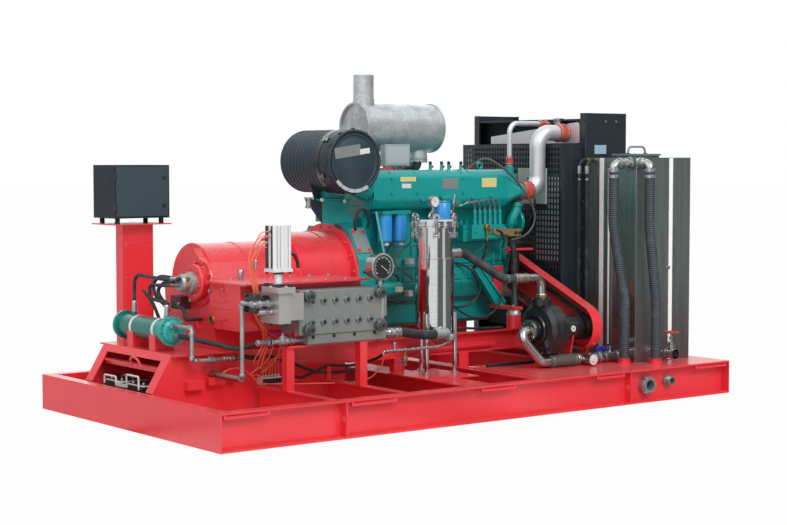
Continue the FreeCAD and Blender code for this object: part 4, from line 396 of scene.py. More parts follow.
def brushed(name, slot, code, rough=0.3, metal=1.0, grain=(1, 1, 0.04), scratch=0.12):
    """Brushed sheet: fine lines one way in tone, gloss and relief, with faint stains."""
    made = Finish(name, slot, Metallic=metal)
    lines = made.noise(260.0, 2.0, grain)
    stain = made.noise(3.0, 4.0)
    tone = made.mix(lines, tint(code, 0.8), tint(code, 1.18))
    made.colour(made.mix(made.step(stain, 0.5, 0.8) * 0.35, tone, tint(code, 0.62)))
    made.rough(lines * 0.16 + stain * 0.12 + (rough - 0.14))
    made.relief(lines, scratch, 0.0004)
    return made


def machined(name, slot, code, rough=0.34, metal=0.85):
    """Turned or plated steel: small mottling and fine scratches."""
    made = Finish(name, slot, Metallic=metal)
    mottle = made.noise(45.0, 4.0)
    made.colour(made.mix(mottle, tint(code, 0.7), tint(code, 1.25)))
    made.rough(mottle * 0.22 + (rough - 0.1))
    made.relief(made.noise(420.0, 2.0), 0.1, 0.0004)
    return made


def rubber(name, slot, code, ridge=0.0, way="Z"):
    """Hose rubber: dull, with a woven print, dust in patches, ridges where it is corrugated."""
    made = Finish(name, slot, Specular_IOR_Level=0.35)
    weave = made.cells(420.0)
    patch = made.step(made.noise(14.0, 4.0), 0.45, 0.75)
    tone = made.mix(weave, tint(code, 0.75), tint(code, 1.3))
    made.colour(made.mix(patch * 0.22, tone, tint("#8B8680")))
    made.rough(patch * 0.18 + 0.5)
    made.relief(made.wave(way, ridge) + weave * 0.15 if ridge else weave,
                0.9 if ridge else 0.25, 0.004 if ridge else 0.0006)
    return made


def plastic(name, slot, code, rough=0.45, grain=0.18):
    """Moulded plastic: a fine leathery grain and a little rubbed shine."""
    made = Finish(name, slot)
    rubbed = made.noise(7.0, 3.0)
    fleck = made.noise(160.0, 2.0)
    made.colour(made.mix(rubbed * 0.6 + fleck * 0.4, tint(code, 0.82), tint(code, 1.2)))
    made.rough(rubbed * 0.2 + (rough - 0.1))
    made.relief(made.cells(650.0), grain, 0.0004)
    return made


def spangled(name, slot, code, scale=60.0, rough=0.42, metal=0.7):
    """Zinc-dipped steel: crystal patches of two greys, dull and slightly uneven."""
    made = Finish(name, slot, Metallic=metal)
    crystal = made.cells(scale)
    cloud = made.noise(9.0, 5.0)
    tone = made.mix(crystal, tint(code, 0.82), tint(code, 1.2))
    made.colour(made.mix(made.step(cloud, 0.42, 0.66) * 0.5, tone, tint(code, 0.6)))
    made.rough(cloud * 0.3 + (rough - 0.12))
    made.relief(cloud + crystal * 0.3, 0.14, 0.0008)
    return made


def sand_cast(name, slot, code, rough=0.5, metal=0.75):
    """Cast metal left bare: coarse sand skin with darker pits."""
    made = Finish(name, slot, Metallic=metal)
    skin = made.noise(140.0, 5.0)
    broad = made.noise(6.0, 3.0)
    tone = made.mix(broad, tint(code, 0.85), tint(code, 1.12))
    made.colour(made.mix(made.step(skin, 0.56, 0.72) * 0.55, tone, tint(code, 0.5)))
    made.rough(skin * 0.3 + (rough - 0.15))
    made.relief(skin, 0.35, 0.0012)
    return made


FINISHES = {
    "red_paint": paint("red_paint", "red_paint", "#E8353F"),
    "dark_red_paint": paint("dark_red_paint", "dark_red_paint", "#E83845", rough=0.34),
    "black_plastic": plastic("battery_plastic", "black_plastic", "#1C1F22"),
    "black_paint": paint("black_paint", "black_paint", "#1A1F22", rough=0.34, dust=0.12),
    "cast_metal": sand_cast("bare_casting", "cast_metal", "#77746F"),
    "green_paint": brushed("milled_green_steel", "green_paint", "#949A97", 0.40, 0.5,
                           (1, 1, 0.02), 0.22),
    "plug_steel": machined("plug_steel", "plug_steel", "#757F7D"),
    "actuator_paint": brushed("drawn_aluminium", "actuator_paint", "#ECEEF2", 0.36, 0.25,
                              (1, 1, 0.01), 0.1),
    "stainless": brushed("stainless_sheet", "stainless", "#B2B6B4", 0.24, 0.95),
    "cooler_paint": paint("cooler_teal", "cooler_paint", "#008A84", cast=0.6),
    "teal_paint": paint("engine_teal", "teal_paint", "#009692", rough=0.3, cast=0.8, dust=0.08),
    "filter_paint": paint("filter_blue", "filter_paint", "#2F97E0", rough=0.25, dust=0.1),
    "muffler_metal": spangled("muffler_metal", "muffler_metal", "#C5CACD", 60.0, 0.42, 0.6),
    "cleaner_plastic": plastic("cleaner_plastic", "cleaner_plastic", "#1E303A", 0.46),
    "slate_paint": paint("slate_paint", "slate_paint", "#1E2B35", rough=0.44, dust=0.1),
    "core_aluminium": sand_cast("core_fins", "core_aluminium", "#A9B3A6"),
    "cast_aluminium": sand_cast("cast_aluminium", "cast_aluminium", "#DADCDF", 0.44, 0.7),
    "hose_rubber": rubber("hose_rubber", "hose_rubber", "#262B2E"),
    "pulley_iron": machined("pulley_iron", "pulley_iron", "#4A4C4E"),
    "lever_paint": paint("lever_blue", "lever_paint", "#123A9C", rough=0.28, dust=0.1),
    "wheel_paint": paint("wheel_red", "wheel_paint", "#C2122A", rough=0.3, dust=0.1),
    "zinc": spangled("zinc_pipe", "zinc", "#A9B3B0", 90.0),
    "tube_plastic": plastic("air_tube_orange", "tube_plastic", "#FA7A58", 0.35, 0.05),
    "light_grey_paint": paint("light_grey_paint", "light_grey_paint", "#9AA7AB", dust=0.05),
}
for part in frame["record"]["subparts"]:
    worn = frame["nodes"][part["node"]]
    worn.data.materials.clear()
    worn.data.materials.append(FINISHES[part["material_slot"]].material)

bright_steel = machined("bright_steel", "plug_steel", "#AEB2B4", 0.26)
dark_steel = machined("dark_steel", "plug_steel", "#3E4447", 0.4, 0.6)
brass = machined("brass", "plug_steel", "#B08A45", 0.3)
white_plastic = plastic("white_plastic", "black_plastic", "#D9D8D2", 0.4, 0.08)
rusty = sand_cast("rusty_casting", "cast_metal", "#8A5E50")
worn_rubber = rubber("worn_rubber", "hose_rubber", "#56544F")
tan_metal = machined("tan_metal", "plug_steel", "#A88A5E", 0.4, 0.5)
brushed_gold = machined("clear_plating", "plug_steel", "#B9AE93", 0.28, 0.9)
pale_grey = paint("pale_grey", "light_grey_paint", "#AEB8BB", dust=0.05)
light_teal = paint("light_teal", "teal_paint", "#5CC0B4", dust=0.0)
pale_green = paint("pale_green", "light_grey_paint", "#9FB3AC", rough=0.25, dust=0.05)
grey_metal = brushed("grey_sheet", "zinc", "#8D9794", 0.42, 0.4)
cleaner_cap_plastic = plastic("cleaner_cap_plastic", "cleaner_plastic", "#2C3E47", 0.36)
# Near-white finish: the painted highlight of the tank's polished strips
polished_strip_painted_highlight = plastic("polished_strip_painted_highlight", "stainless", "#FBFCFC", 0.35, 0.04)
label_yellow = plastic("label_yellow", "black_plastic", "#D6CB86", 0.35, 0.04)
label_silver = brushed("label_silver", "zinc", "#9FA7A4", 0.3, 0.5)
label_blue = plastic("label_pale_blue", "black_plastic", "#9FC0D0", 0.35, 0.04)
red_silicone = rubber("red_silicone", "hose_rubber", "#CC4632")
filter_shell = brushed("polished_shell", "stainless", "#CFD2D1", 0.08, 1.0, (0.05, 0.05, 1), 0.02)
block_steel = brushed("milled_bright_steel", "green_paint", "#C0C0BC", 0.34, 0.55, (1, 1, 0.02),
                      0.2)
# One blue-grey in two copies: the case's darker one is painted shade, the door's lighter one painted
# light
shaded_box_paint = paint("box_blue_grey", "black_paint", "#14222D", rough=0.65, coat=0.0, dust=0.0)
lit_door_paint = paint("door_blue_grey", "black_paint", "#31454E", rough=0.55, coat=0.0, dust=0.05)
lid_paint = paint("lid_paint", "slate_paint", "#7A8585", rough=0.4, dust=0.1)
red = FINISHES["red_paint"]
teal = FINISHES["teal_paint"]
black = FINISHES["black_paint"]
slate = FINISHES["slate_paint"]
zinc = FINISHES["zinc"]
stainless = FINISHES["stainless"]
hose = FINISHES["hose_rubber"]


def tank_sheet():
    """Dark painted steel with faint vertical streaks of painted reflection, and a warm cast near the
    ground.
    """
    made = Finish("tank_sheet", "stainless", Metallic=0.7, Coat_Weight=0.2, Coat_Roughness=0.15)
    streaks_and_painted_reflection = made.noise(26.0, 3.0, (1, 1, 0.05))
    # The vertical streaks in the tone are painted reflections; in gloss and relief they are grain
    tone = made.mix(streaks_and_painted_reflection, tint("#6E7B78"), tint("#94A19E"))
    low = 1.0 - made.step(made.part("Z"), 0.30, 1.15)
    made.colour(made.mix(low * 0.45, tone, tint("#6E4448")))
    made.rough(streaks_and_painted_reflection * 0.1 + made.noise(4.0) * 0.1 + 0.18)
    made.relief(streaks_and_painted_reflection, 0.06, 0.0005)
    return made


def two_tone_casting():
    """The lubrication pump: bare aluminium above, and below it a brown valve block."""
    made = Finish("lube_castings", "cast_metal", Metallic=0.6)
    skin = made.noise(120.0, 4.0)
    upper = made.step(made.part("Z"), 0.852, 0.862)
    tone = made.mix(upper, tint("#6E4A48"), tint("#A9ABAA"))
    made.colour(made.mix(made.step(skin, 0.52, 0.72) * 0.45, tone, tint("#3C3836")))
    made.rough(skin * 0.25 + 0.32)
    made.relief(skin, 0.3, 0.001)
    return made


def spiral_hose():
    """The tank's two hoses: blue-grey rubber with a wire spiral that shows as fine rings."""
    made = Finish("spiral_hose", "hose_rubber", Specular_IOR_Level=0.4)
    rings = made.wave("Z", 0.016)
    patch = made.noise(9.0, 4.0)
    tone = made.mix(rings, tint("#222A30"), tint("#47535C"))
    made.colour(made.mix(made.step(patch, 0.5, 0.8) * 0.3, tone, tint("#7B8490")))
    made.rough(patch * 0.2 + 0.36)
    made.relief(rings, 0.7, 0.003)
    return made


tank_steel = tank_sheet()
for node, finish in (
        ("bag_filter", filter_shell), ("filter_lid", filter_shell), ("tank_shell", tank_steel),
        ("tank_roof", tank_steel), ("discharge_block", block_steel), ("control_box", shaded_box_paint),
        ("tank_lid", lid_paint), ("lube_system", two_tone_casting()),
        ("tank_hoses", spiral_hose())):
    frame["nodes"][node].data.materials[0] = finish.material

# The cooler's tube is lighter than the bands at its two ends; the core's fins have painted shade
# between them

cooler = FINISHES["cooler_paint"]
cooler_low, cooler_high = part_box("oil_cooler")
near_end = cooler.step(cooler.part("Y"), cooler_low[1] + 0.08, cooler_low[1] + 0.20)
far_end = cooler.step(cooler.part("Y"), cooler_high[1] - 0.06, cooler_high[1] - 0.03)
band_teal = cooler.mix(cooler.noise(3.0), tint("#00635C"), tint("#0A7A72"))
cooler.colour(cooler.mix(near_end - far_end, tint("#14A096"), band_teal))
core = FINISHES["core_aluminium"]
fins_and_painted_shade = core.wave("Z", 0.010)
# The core's near-black tone and darker stripes are painted shade in the gaps between the fins
core.colour(core.mix(core.step(fins_and_painted_shade, 0.2, 0.8), tint("#0C0F10"), tint("#22282A")))
core.relief(fins_and_painted_shade, 0.8, 0.003)

# Centre lines: (y, z) of what lies along X

DRUM = (0.270, 0.930)
MANIFOLD = (-0.650, 0.592)
DRAIN_LINE = (-0.650, 0.466)
RETURN_LINE = (-0.290, 0.458)
STARTER = (-0.064, 0.842)
BOOSTER = (-0.650, 0.530)
DELIVERY = (-0.650, 0.922)
SUCTION = (-0.733, 0.298)

# and (x, y) of what stands up

DRAIN_PIPE = (-0.618, -0.650)
FUEL_FILTER = (0.353, -0.100)
RISER = (0.500, 0.400)
BOOSTER_OUTLET = (0.856, -0.650)
SIGHT_TUBE = (1.586, -0.610)
GATE = (1.878, -1.000)

# Base: dark discs as painted shade inside the ports, and their joints

piece("port_bores_painted_shade", dark_steel,
      disc("Y", (1.44, -1.15, 0.125), -0.012, 0.0399),
      disc("Y", (1.67, -1.15, 0.14), -0.012, 0.0249))
piece("drain_coupling_lugs", zinc,
      swung(block((1.492, -1.208, 0.111), (1.512, -1.168, 0.139)), "Y", (1.44, -1.18, 0.125),
          (0, 120, 240)), edge=0.003)
piece("fill_pipe_thread", zinc,
      *[ring("Y", (1.67, -1.176 - 0.005 * turn, 0.14),
          [(0, 0.0298), (-0.001, 0.0312), (-0.003, 0.0312), (-0.004, 0.0298)], 32)
       for turn in range(7)])

# Control box: door, hinges, latches, and the post's cover

box_low, box_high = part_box("control_box")
case_low = box_high[2] - 0.382
door_y = box_low[1]
# The door on the near face takes the lighter copy of the blue-grey: painted light
piece("control_box_door", lit_door_paint,
      block((box_low[0] + 0.012, door_y - 0.006, case_low + 0.012),
          (box_high[0] - 0.012, door_y - 0.0005, box_high[2] - 0.012)), edge=0.003)
piece("control_box_latches", black,
      *[disc("Y", (box_high[0] - 0.045, door_y - 0.006, z), -0.009, 0.014)
       for z in (case_low + 0.09, box_high[2] - 0.09)])
piece("control_box_hinges", black,
      *[stepped("Z", (box_low[0] + 0.006, door_y - 0.004, z), 12, (0.05, 0.008))
       for z in (case_low + 0.06, box_high[2] - 0.11)])
POST_X = -1.695
piece("post_cover", red,
      block((POST_X - 0.108, 0.866, 0.26), (POST_X + 0.108, 0.8705, 1.2)), edge=0.002)
piece("post_cover_bolts", bright_steel,
      hexes("Y", rows((POST_X - 0.093, POST_X + 0.093), (0.866,), (0.3, 0.75, 0.94, 1.17)), 0.008,
          -0.006))

# Pump power end: bearing cap rings, sight glass, raised ribs, cover studs

CASE_SIDE = -1.690
CAP = (-1.660, 0.050, 0.955)
piece("bearing_cap_rings", red,
      ring("X", CAP, [(0, 0.165), (-0.014, 0.16), (-0.014, 0.134), (0, 0.134)], 48),
      ring("X", (-1.7, CAP[1], CAP[2]),
          [(0, 0.1175), (-0.008, 0.126), (-0.022, 0.126), (-0.03, 0.1175)], 48), edge=0.002)
piece("bearing_cap_bolts", red,
      hexes("X", circle_of("X", (-1.674, CAP[1], CAP[2]), 0.147, 8, 20), 0.01, -0.01),
      hexes("X", circle_of("X", (-1.73, CAP[1], CAP[2]), 0.098, 6, 10), 0.009, -0.008))
piece("lube_pump_fittings", brass,
      disc("Y", (-1.8, 0.0, 0.985), -0.02, 0.016, 6),
      disc("Y", (-1.8, 0.0, 0.93), -0.016, 0.014, 6))
piece("case_caps", white_plastic,
      disc("X", (-1.66, 0.3, 0.82), -0.018, 0.016), disc("X", (-1.66, 0.18, 0.826), -0.018, 0.016),
      disc("X", (-1.74, 0.215, 0.8), -0.008, 0.01))
piece("side_ribs", red,
      *[cord([(-1.6895, y0, z0), (-1.694, (y0 + y1) / 2, (z0 + z1) / 2), (-1.6895, y1, z1)], 0.0055,
          8, 6)
       for y0, z0, y1, z1 in ((-0.15, 0.95, -0.33, 0.885), (-0.2, 0.9, -0.33, 0.85),
              (-0.16, 0.84, -0.36, 0.845), (-0.15, 0.795, -0.36, 0.797),
              (-0.23, 0.713, -0.364, 0.736))],
      ring("X", (CASE_SIDE, -0.275, 0.925),
          [(0, 0.03), (-0.006, 0.028), (-0.006, 0.02), (0, 0.018)], 24))
piece("side_plug", bright_steel, disc("X", (CASE_SIDE, -0.275, 0.925), -0.008, 0.01, 6))
piece("sight_glass_ring", brass,
      ring("X", (CASE_SIDE, -0.14, 0.713),
          [(0, 0.018), (0, 0.032), (-0.012, 0.03), (-0.012, 0.021)], 28))
piece("sight_glass", dark_steel, disc("X", (CASE_SIDE, -0.14, 0.713), -0.008, 0.021))
piece("crosshead_plugs", red,
      disc("X", (CASE_SIDE, -0.22, 0.662), -0.006, 0.014),
      washer("Y", (-1.676, 0.04, 0.675), 0.022, 0.018, 0.036, 24))
cover_low, cover_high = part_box("crankcase_cover")
cover_bolt_x = np.linspace(cover_low[0] + 0.03, cover_high[0] - 0.03, 7)
piece("crankcase_cover_bolts", bright_steel,
      hexes("Z",
          rows(cover_bolt_x, (cover_low[1] + 0.025, cover_high[1] - 0.025), (cover_high[2],)), 0.01,
          0.008))
piece("case_breather", bright_steel,
      turned("Z", (-1.47, -0.16, 0.977),
          [(0, 0.012), (0.02, 0.012), (0.02, 0.02), (0.06, 0.02), (0.066, 0.016)], 20))
piece("drum_welds", red,
      *[ring("X", (x, *DRUM), [(0, 0.2795), (0.002, 0.284), (0.01, 0.284), (0.012, 0.2795)], 96)
       for x in (-1.596, -1.3)])
piece("bell_ribs", FINISHES["dark_red_paint"],
      *[ring("X", (x, *DRUM), [(0, 0.3385), (0.002, 0.3445), (0.01, 0.3445), (0.012, 0.3385)], 96)
       for x in (-0.886, -0.62)])
piece("bell_flange_bolts", FINISHES["dark_red_paint"],
      hexes("X", circle_of("X", (-0.466, *DRUM), 0.372, 20, 9), 0.01, -0.01))

# Fluid end: dark discs as painted shade in the plugs' sockets, gland nuts, manifold studs

PLUG_X = -1.266 + 0.097 * np.arange(6)
plug_places = rows(PLUG_X, (-0.731,), (0.852, 0.708))
piece("plug_sockets_painted_shade", dark_steel,
      many(turned("Y", (0, 0, 0), [(0.004, 0.0109), (0.001, 0.0109)], 6), plug_places))
piece("plug_rims", bright_steel,
      many(ring("Y", (0, 0, 0),
          [(0.002, 0.0255), (-0.0012, 0.0235), (-0.0012, 0.0185), (0.002, 0.018)], 24), plug_places),
      many(ring("Y", (0, 0, 0), [(0, 0.031), (-0.0015, 0.031), (-0.0015, 0.0262), (0, 0.0262)], 28),
          plug_places + np.array([0, 0.009, 0])))
gland_places = rows((-1.306, -0.713), (-0.782,), (0.891, 0.666))
piece("gland_grips", FINISHES["plug_steel"],
      many(swung(disc("Y", (0.0325, 0.02, 0), 0.03, 0.0105, 12), "Y", (0, 0, 0), range(0, 360, 45)),
          gland_places))
piece("gland_nuts", dark_steel, hexes("Y", gland_places, 0.016, -0.01))
piece("manifold_bolts", dark_steel,
      hexes("Y", rows(np.linspace(-1.25, -0.74, 4), (-0.71,), (0.612,)), 0.012, -0.01))
piece("manifold_seam", dark_steel, block((-1.296, -0.7108, 0.6262), (-0.69, -0.71, 0.6278)))
piece("manifold_union", brass, stepped("X", (-0.64, *MANIFOLD), 6, (0.018, 0.036), (0.05, 0.0302)))
piece("manifold_coupling", bright_steel,
      carried([(-0.594, *MANIFOLD), (-0.588, *MANIFOLD), (-0.48, *MANIFOLD), (-0.474, *MANIFOLD)],
          np.array([0.033, 0.037, 0.037, 0.034]), 28),
      *[band((x, *MANIFOLD), "X", 0.041, 0.012, 28) for x in (-0.57, -0.53, -0.49)])
piece("fluid_side_nuts", dark_steel,
      hexes("X", rows((-0.621,), (-0.665, -0.55), (0.75, 0.85)), 0.014, 0.012))

# Discharge block: studs, the black flange with its pipes, and the unloader's tie rods

DRAIN_X = -1.735
BARREL_LOW = 1.086
BARREL_TOP = 1.364
piece("discharge_flange_bolts", dark_steel,
      many(turned("Z", (0, 0, 0), [(0, 0.016), (0.02, 0.016), (0.024, 0.012)], 18),
          rows((-1.576, -1.484), (-0.788, -0.642), (0.963,))),
      hexes("Z", rows((-1.555, -1.505), (-0.77, -0.66), (0.722,)), 0.012, -0.022))
piece("pipe_flange", black, block((-1.712, -0.735, 0.795), (-1.69, -0.585, 0.925)), edge=0.004)
piece("pipe_flange_studs", dark_steel,
      hexes("X", rows((-1.712,), (-0.718, -0.602), (0.812, 0.908)), 0.012, -0.016),
      hexes("X", rows((-1.69,), (-0.718, -0.602), (0.812, 0.908)), 0.01, 0.014))
piece("pipe_flange_neck", dark_steel,
      turned("X", (-1.69, -0.65, 0.86),
          [(0, 0.04), (0.03, 0.04), (0.036, 0.033), (0.09, 0.033), (0.09, 0.045), (0.112, 0.045)],
          32))
piece("drain_unions", bright_steel,
      turned("X", (-1.716, -0.73, 0.856),
          [(0, 0.024), (0.03, 0.026), (0.034, 0.019), (0.08, 0.019), (0.084, 0.026), (0.104, 0.026),
              (0.11, 0.018), (0.138, 0.018)], 24),
      band((DRAIN_X, -0.712, 0.856), "Y", 0.022, 0.026),
      band((DRAIN_X, -0.61, 0.856), "Y", 0.022, 0.026),
      band((DRAIN_X, -0.59, 0.836), "Z", 0.022, 0.026),
      band((DRAIN_X, -0.59, 0.378), "Z", 0.022, 0.026),
      band((DRAIN_X, -0.568, 0.356), "Y", 0.022, 0.026),
      band((DRAIN_X, -0.225, 0.356), "Y", 0.022, 0.03, 6))
piece("relief_fitting", bright_steel,
      turned("X", (-1.7, -0.73, 0.8),
          [(0, 0.016), (0.03, 0.022), (0.05, 0.022), (0.055, 0.016), (0.09, 0.016), (0.095, 0.021),
              (0.122, 0.021)], 20))
ACTUATOR = (-1.530, -0.715)
piece("actuator_tie_bolts", dark_steel,
      hexes("Z",
          rows((ACTUATOR[0] - 0.06, ACTUATOR[0], ACTUATOR[0] + 0.06),
              (ACTUATOR[1] - 0.046, ACTUATOR[1] + 0.046), (1.062,)), 0.01, -0.014))
left, front = ACTUATOR[0] - 0.071, ACTUATOR[1] - 0.055
# On the actuator's left face: dark bands of painted shade, and a white strip between them as a
# painted highlight
piece("actuator_painted_shade_bands", dark_steel,
      block((left - 0.0009, ACTUATOR[1] - 0.04, BARREL_LOW), (left, ACTUATOR[1] - 0.02, BARREL_TOP)),
      block((left - 0.0009, ACTUATOR[1] + 0.008, BARREL_LOW),
          (left, ACTUATOR[1] + 0.046, BARREL_TOP)))
piece("actuator_painted_highlight", white_plastic,
      block((left - 0.0012, ACTUATOR[1] - 0.014, BARREL_LOW),
          (left, ACTUATOR[1] - 0.002, BARREL_TOP)))
piece("actuator_lines", slate,
      *[block((ACTUATOR[0] + x, front - 0.0007, BARREL_LOW),
          (ACTUATOR[0] + x + 0.0025, front, BARREL_TOP)) for x in (-0.046, -0.022, 0.04)])
piece("spindle_collar", dark_steel,
      turned("Z", (*ACTUATOR, 0.963), [(0, 0.042), (0.014, 0.042), (0.018, 0.034)], 32),
      stepped("Z", (*ACTUATOR, 1.046), 32, (0.016, 0.034)))
piece("actuator_air_fittings", bright_steel,
      disc("X", (left, -0.727, 1.328), -0.016, 0.009),
      disc("X", (left, -0.715, 1.292), -0.016, 0.009),
      disc("X", (left, -0.703, 1.255), -0.016, 0.009),
      turned("Z", (left - 0.07, -0.66, 1.085), [(0, 0.011), (0.05, 0.011), (0.056, 0.008)], 14))

# Solenoid valves on the pedestal: white fittings, short orange loops, the long tubes

VALVE_X = np.linspace(-1.355, -1.225, 6)
piece("solenoid_fittings", white_plastic,
      many(turned("Z", (0, 0, 0), [(0, 0.008), (0.014, 0.008), (0.018, 0.006)], 12),
          rows(VALVE_X, (-0.248, -0.216), (0.3,))))
piece("solenoid_coils", black,
      *[block((x - 0.009, -0.276, 0.258), (x + 0.009, -0.262, 0.292)) for x in VALVE_X], edge=0.002)
orange = FINISHES["tube_plastic"]
piece("short_air_tubes", orange,
      *[cord([(x, -0.248, 0.316), (x + 0.005, -0.255, 0.38 + 0.012 * index),
          (x + 0.055, -0.262, 0.43 + 0.012 * index), (x + 0.13, -0.255, 0.425 + 0.01 * index),
          (x + 0.21, -0.235, 0.4), (-0.99 + 0.01 * index, -0.212, 0.385)], 0.0035, 8, 7)
       for index, x in enumerate(VALVE_X[1:])])
piece("long_air_tubes", orange,
      cord([(-1.735, -0.35, 0.372), (-1.66, -0.33, 0.392), (-1.54, -0.3, 0.376),
          (-1.4, -0.3, 0.276), (-1.17, -0.31, 0.25), (-0.93, -0.36, 0.24), (-0.75, -0.42, 0.235),
          (-0.64, -0.52, 0.27), (-0.6, -0.6, 0.36), (-0.608, -0.65, 0.445)], 0.0045, 9, 9),
      cord([(left, -0.69, 1.225), (left - 0.06, -0.69, 1.215), (left - 0.115, -0.665, 1.12),
          (left - 0.085, -0.635, 1.01), (left - 0.045, -0.62, 0.9), (left - 0.02, -0.56, 0.78),
          (-1.5, -0.5, 0.64), (-1.4, -0.45, 0.56), (-1.43, -0.42, 0.44), (-1.52, -0.36, 0.35),
          (-1.42, -0.3, 0.33), (VALVE_X[0], -0.216, 0.318)], 0.0038, 8),
      cord([(left, -0.745, 1.3), (left - 0.085, -0.745, 1.295), (left - 0.145, -0.7, 1.19),
          (left - 0.105, -0.65, 1.03), (left - 0.06, -0.63, 0.9), (left - 0.015, -0.58, 0.76),
          (-1.47, -0.5, 0.64), (-1.33, -0.44, 0.56), (-1.37, -0.42, 0.43), (-1.44, -0.36, 0.35),
          (-1.36, -0.29, 0.35), (VALVE_X[1], -0.216, 0.318)], 0.0038, 8))
piece("base_hoses", hose,
      cord([(-1.28, -0.202, 0.44), (-1.16, -0.262, 0.4), (-0.93, -0.3, 0.315), (-0.7, -0.3, 0.3),
          (-0.55, -0.27, 0.32), (-0.45, -0.205, 0.38)], 0.011, 12),
      cord([(-1.205, -0.232, 0.275), (-1.12, -0.275, 0.295), (-1.07, -0.3, 0.285),
          (-0.98, -0.3, 0.31), (-0.84, -0.305, 0.35), (-0.66, -0.34, 0.345), (-0.57, -0.5, 0.4),
          (-0.59, -0.64, 0.462)], 0.01, 12))
piece("rear_post", red, block((-0.858, -0.315, 0.25), (-0.824, -0.281, 0.35)), edge=0.002)
piece("filter_drain_pipe", bright_steel,
      carried(bent(
          [(*DRAIN_PIPE, 0.44), (-0.618, *DRAIN_LINE), (-0.14, *DRAIN_LINE), (-0.04, -0.65, 0.492)],
          0.02, 5), 0.01, 14),
      *[band((x, *DRAIN_LINE), "X", 0.0155, 0.022, 16) for x in (-0.585, -0.52, -0.429, -0.36)],
      turned("Z", (-0.52, *DRAIN_LINE), [(0, 0.011), (0.04, 0.011), (0.044, 0.016), (0.06, 0.016)],
          16))
piece("filter_drain_valve", brass,
      turned("Z", (-0.429, *DRAIN_LINE),
          [(0, 0.01), (-0.03, 0.01), (-0.034, 0.016), (-0.052, 0.016), (-0.056, 0.02),
              (-0.086, 0.02), (-0.09, 0.014), (-0.112, 0.014)], 18))
piece("filter_drain_handle", FINISHES["lever_paint"],
      block((-0.52, -0.678, 0.384), (-0.425, -0.67, 0.394)), edge=0.002)

# Relief line under the fluid end: blue-handled valve, hose end, white rod to the manifold

piece("relief_line_fittings", bright_steel,
      carried([(-1.66, *MANIFOLD), (-1.655, *MANIFOLD), (-1.59, *MANIFOLD), (-1.585, *MANIFOLD)],
          np.array([0.018, 0.022, 0.022, 0.019]), 20),
      *[band((x, *MANIFOLD), "X", 0.028, 0.016, 6) for x in (-1.575, -1.545, -1.415, -1.385)],
      turned("Z", (-1.455, *MANIFOLD), [(0, 0.026), (0.036, 0.024), (0.036, 0.01), (0.052, 0.01)],
          20))
piece("relief_line_handle", FINISHES["lever_paint"],
      block((-1.56, -0.66, 0.643), (-1.44, -0.64, 0.649)), edge=0.002)
piece("relief_red_handle", FINISHES["wheel_paint"],
      block((-1.372, -0.672, 0.612), (-1.336, -0.632, 0.652)), edge=0.006)
piece("return_unions", bright_steel,
      *[band((x, *RETURN_LINE), "X", 0.024, 0.022, 6) for x in (-1.8, -1.775)],
      *[band((x, *RETURN_LINE), "X", 0.021, 0.016, 20) for x in (-1.69, -1.668, -1.646)],
      stepped("X", (-1.64, *RETURN_LINE), 24, (0.03, 0.021)),
      band((-1.938, -0.29, 0.64), "Z", 0.021, 0.03, 18),
      band((-1.938, -0.29, 0.478), "Z", 0.021, 0.03, 18),
      band((-1.938, -0.262, 0.678), "Y", 0.021, 0.03, 18),
      band((-1.908, *RETURN_LINE), "X", 0.021, 0.03, 18))
piece("return_sleeve", dark_steel, stepped("X", (-1.61, *RETURN_LINE), 24, (0.012, 0.0225)))
piece("return_collar", brass, stepped("X", (-1.596, *RETURN_LINE), 24, (0.02, 0.019)))
piece("return_valve", rusty,
      carried([(-1.77, -0.262, 0.366), (-1.735, -0.262, 0.356), (-1.66, -0.262, 0.334),
          (-1.56, -0.262, 0.306)], np.array([0.024, 0.02, 0.021, 0.018]), 16))

# Pressure gauge: bezel, black dial with generic marks, pointer

GAUGE = (-0.713, -0.766, 1.065)
piece("gauge_bezel", bright_steel,
      ring("Y", GAUGE,
          [(0.004, 0.0935), (-0.008, 0.0935), (-0.013, 0.089), (-0.012, 0.081), (-0.003, 0.079),
              (0.004, 0.08)], 64))
piece("gauge_dial", black, disc("Y", (GAUGE[0], GAUGE[1] + 0.001, GAUGE[2]), -0.005, 0.08, 48))
piece("gauge_marks", white_plastic,
      marks(GAUGE, (-0.0014, -0.0052, 0.056), (0.0014, -0.004, 0.072), range(-135, 136, 27)),
      marks(GAUGE, (-0.0008, -0.0052, 0.064), (0.0008, -0.004, 0.072), np.arange(-135, 136, 5.4)),
      marks(GAUGE, (-0.0016, -0.0062, -0.015), (0.0016, -0.0045, 0.055), (128,)))
piece("gauge_stem_nut", bright_steel, stepped("Z", (GAUGE[0], -0.746, 0.945), 6, (0.018, 0.018)))

# Oil cooler: straps, end cover bolts, hose fittings

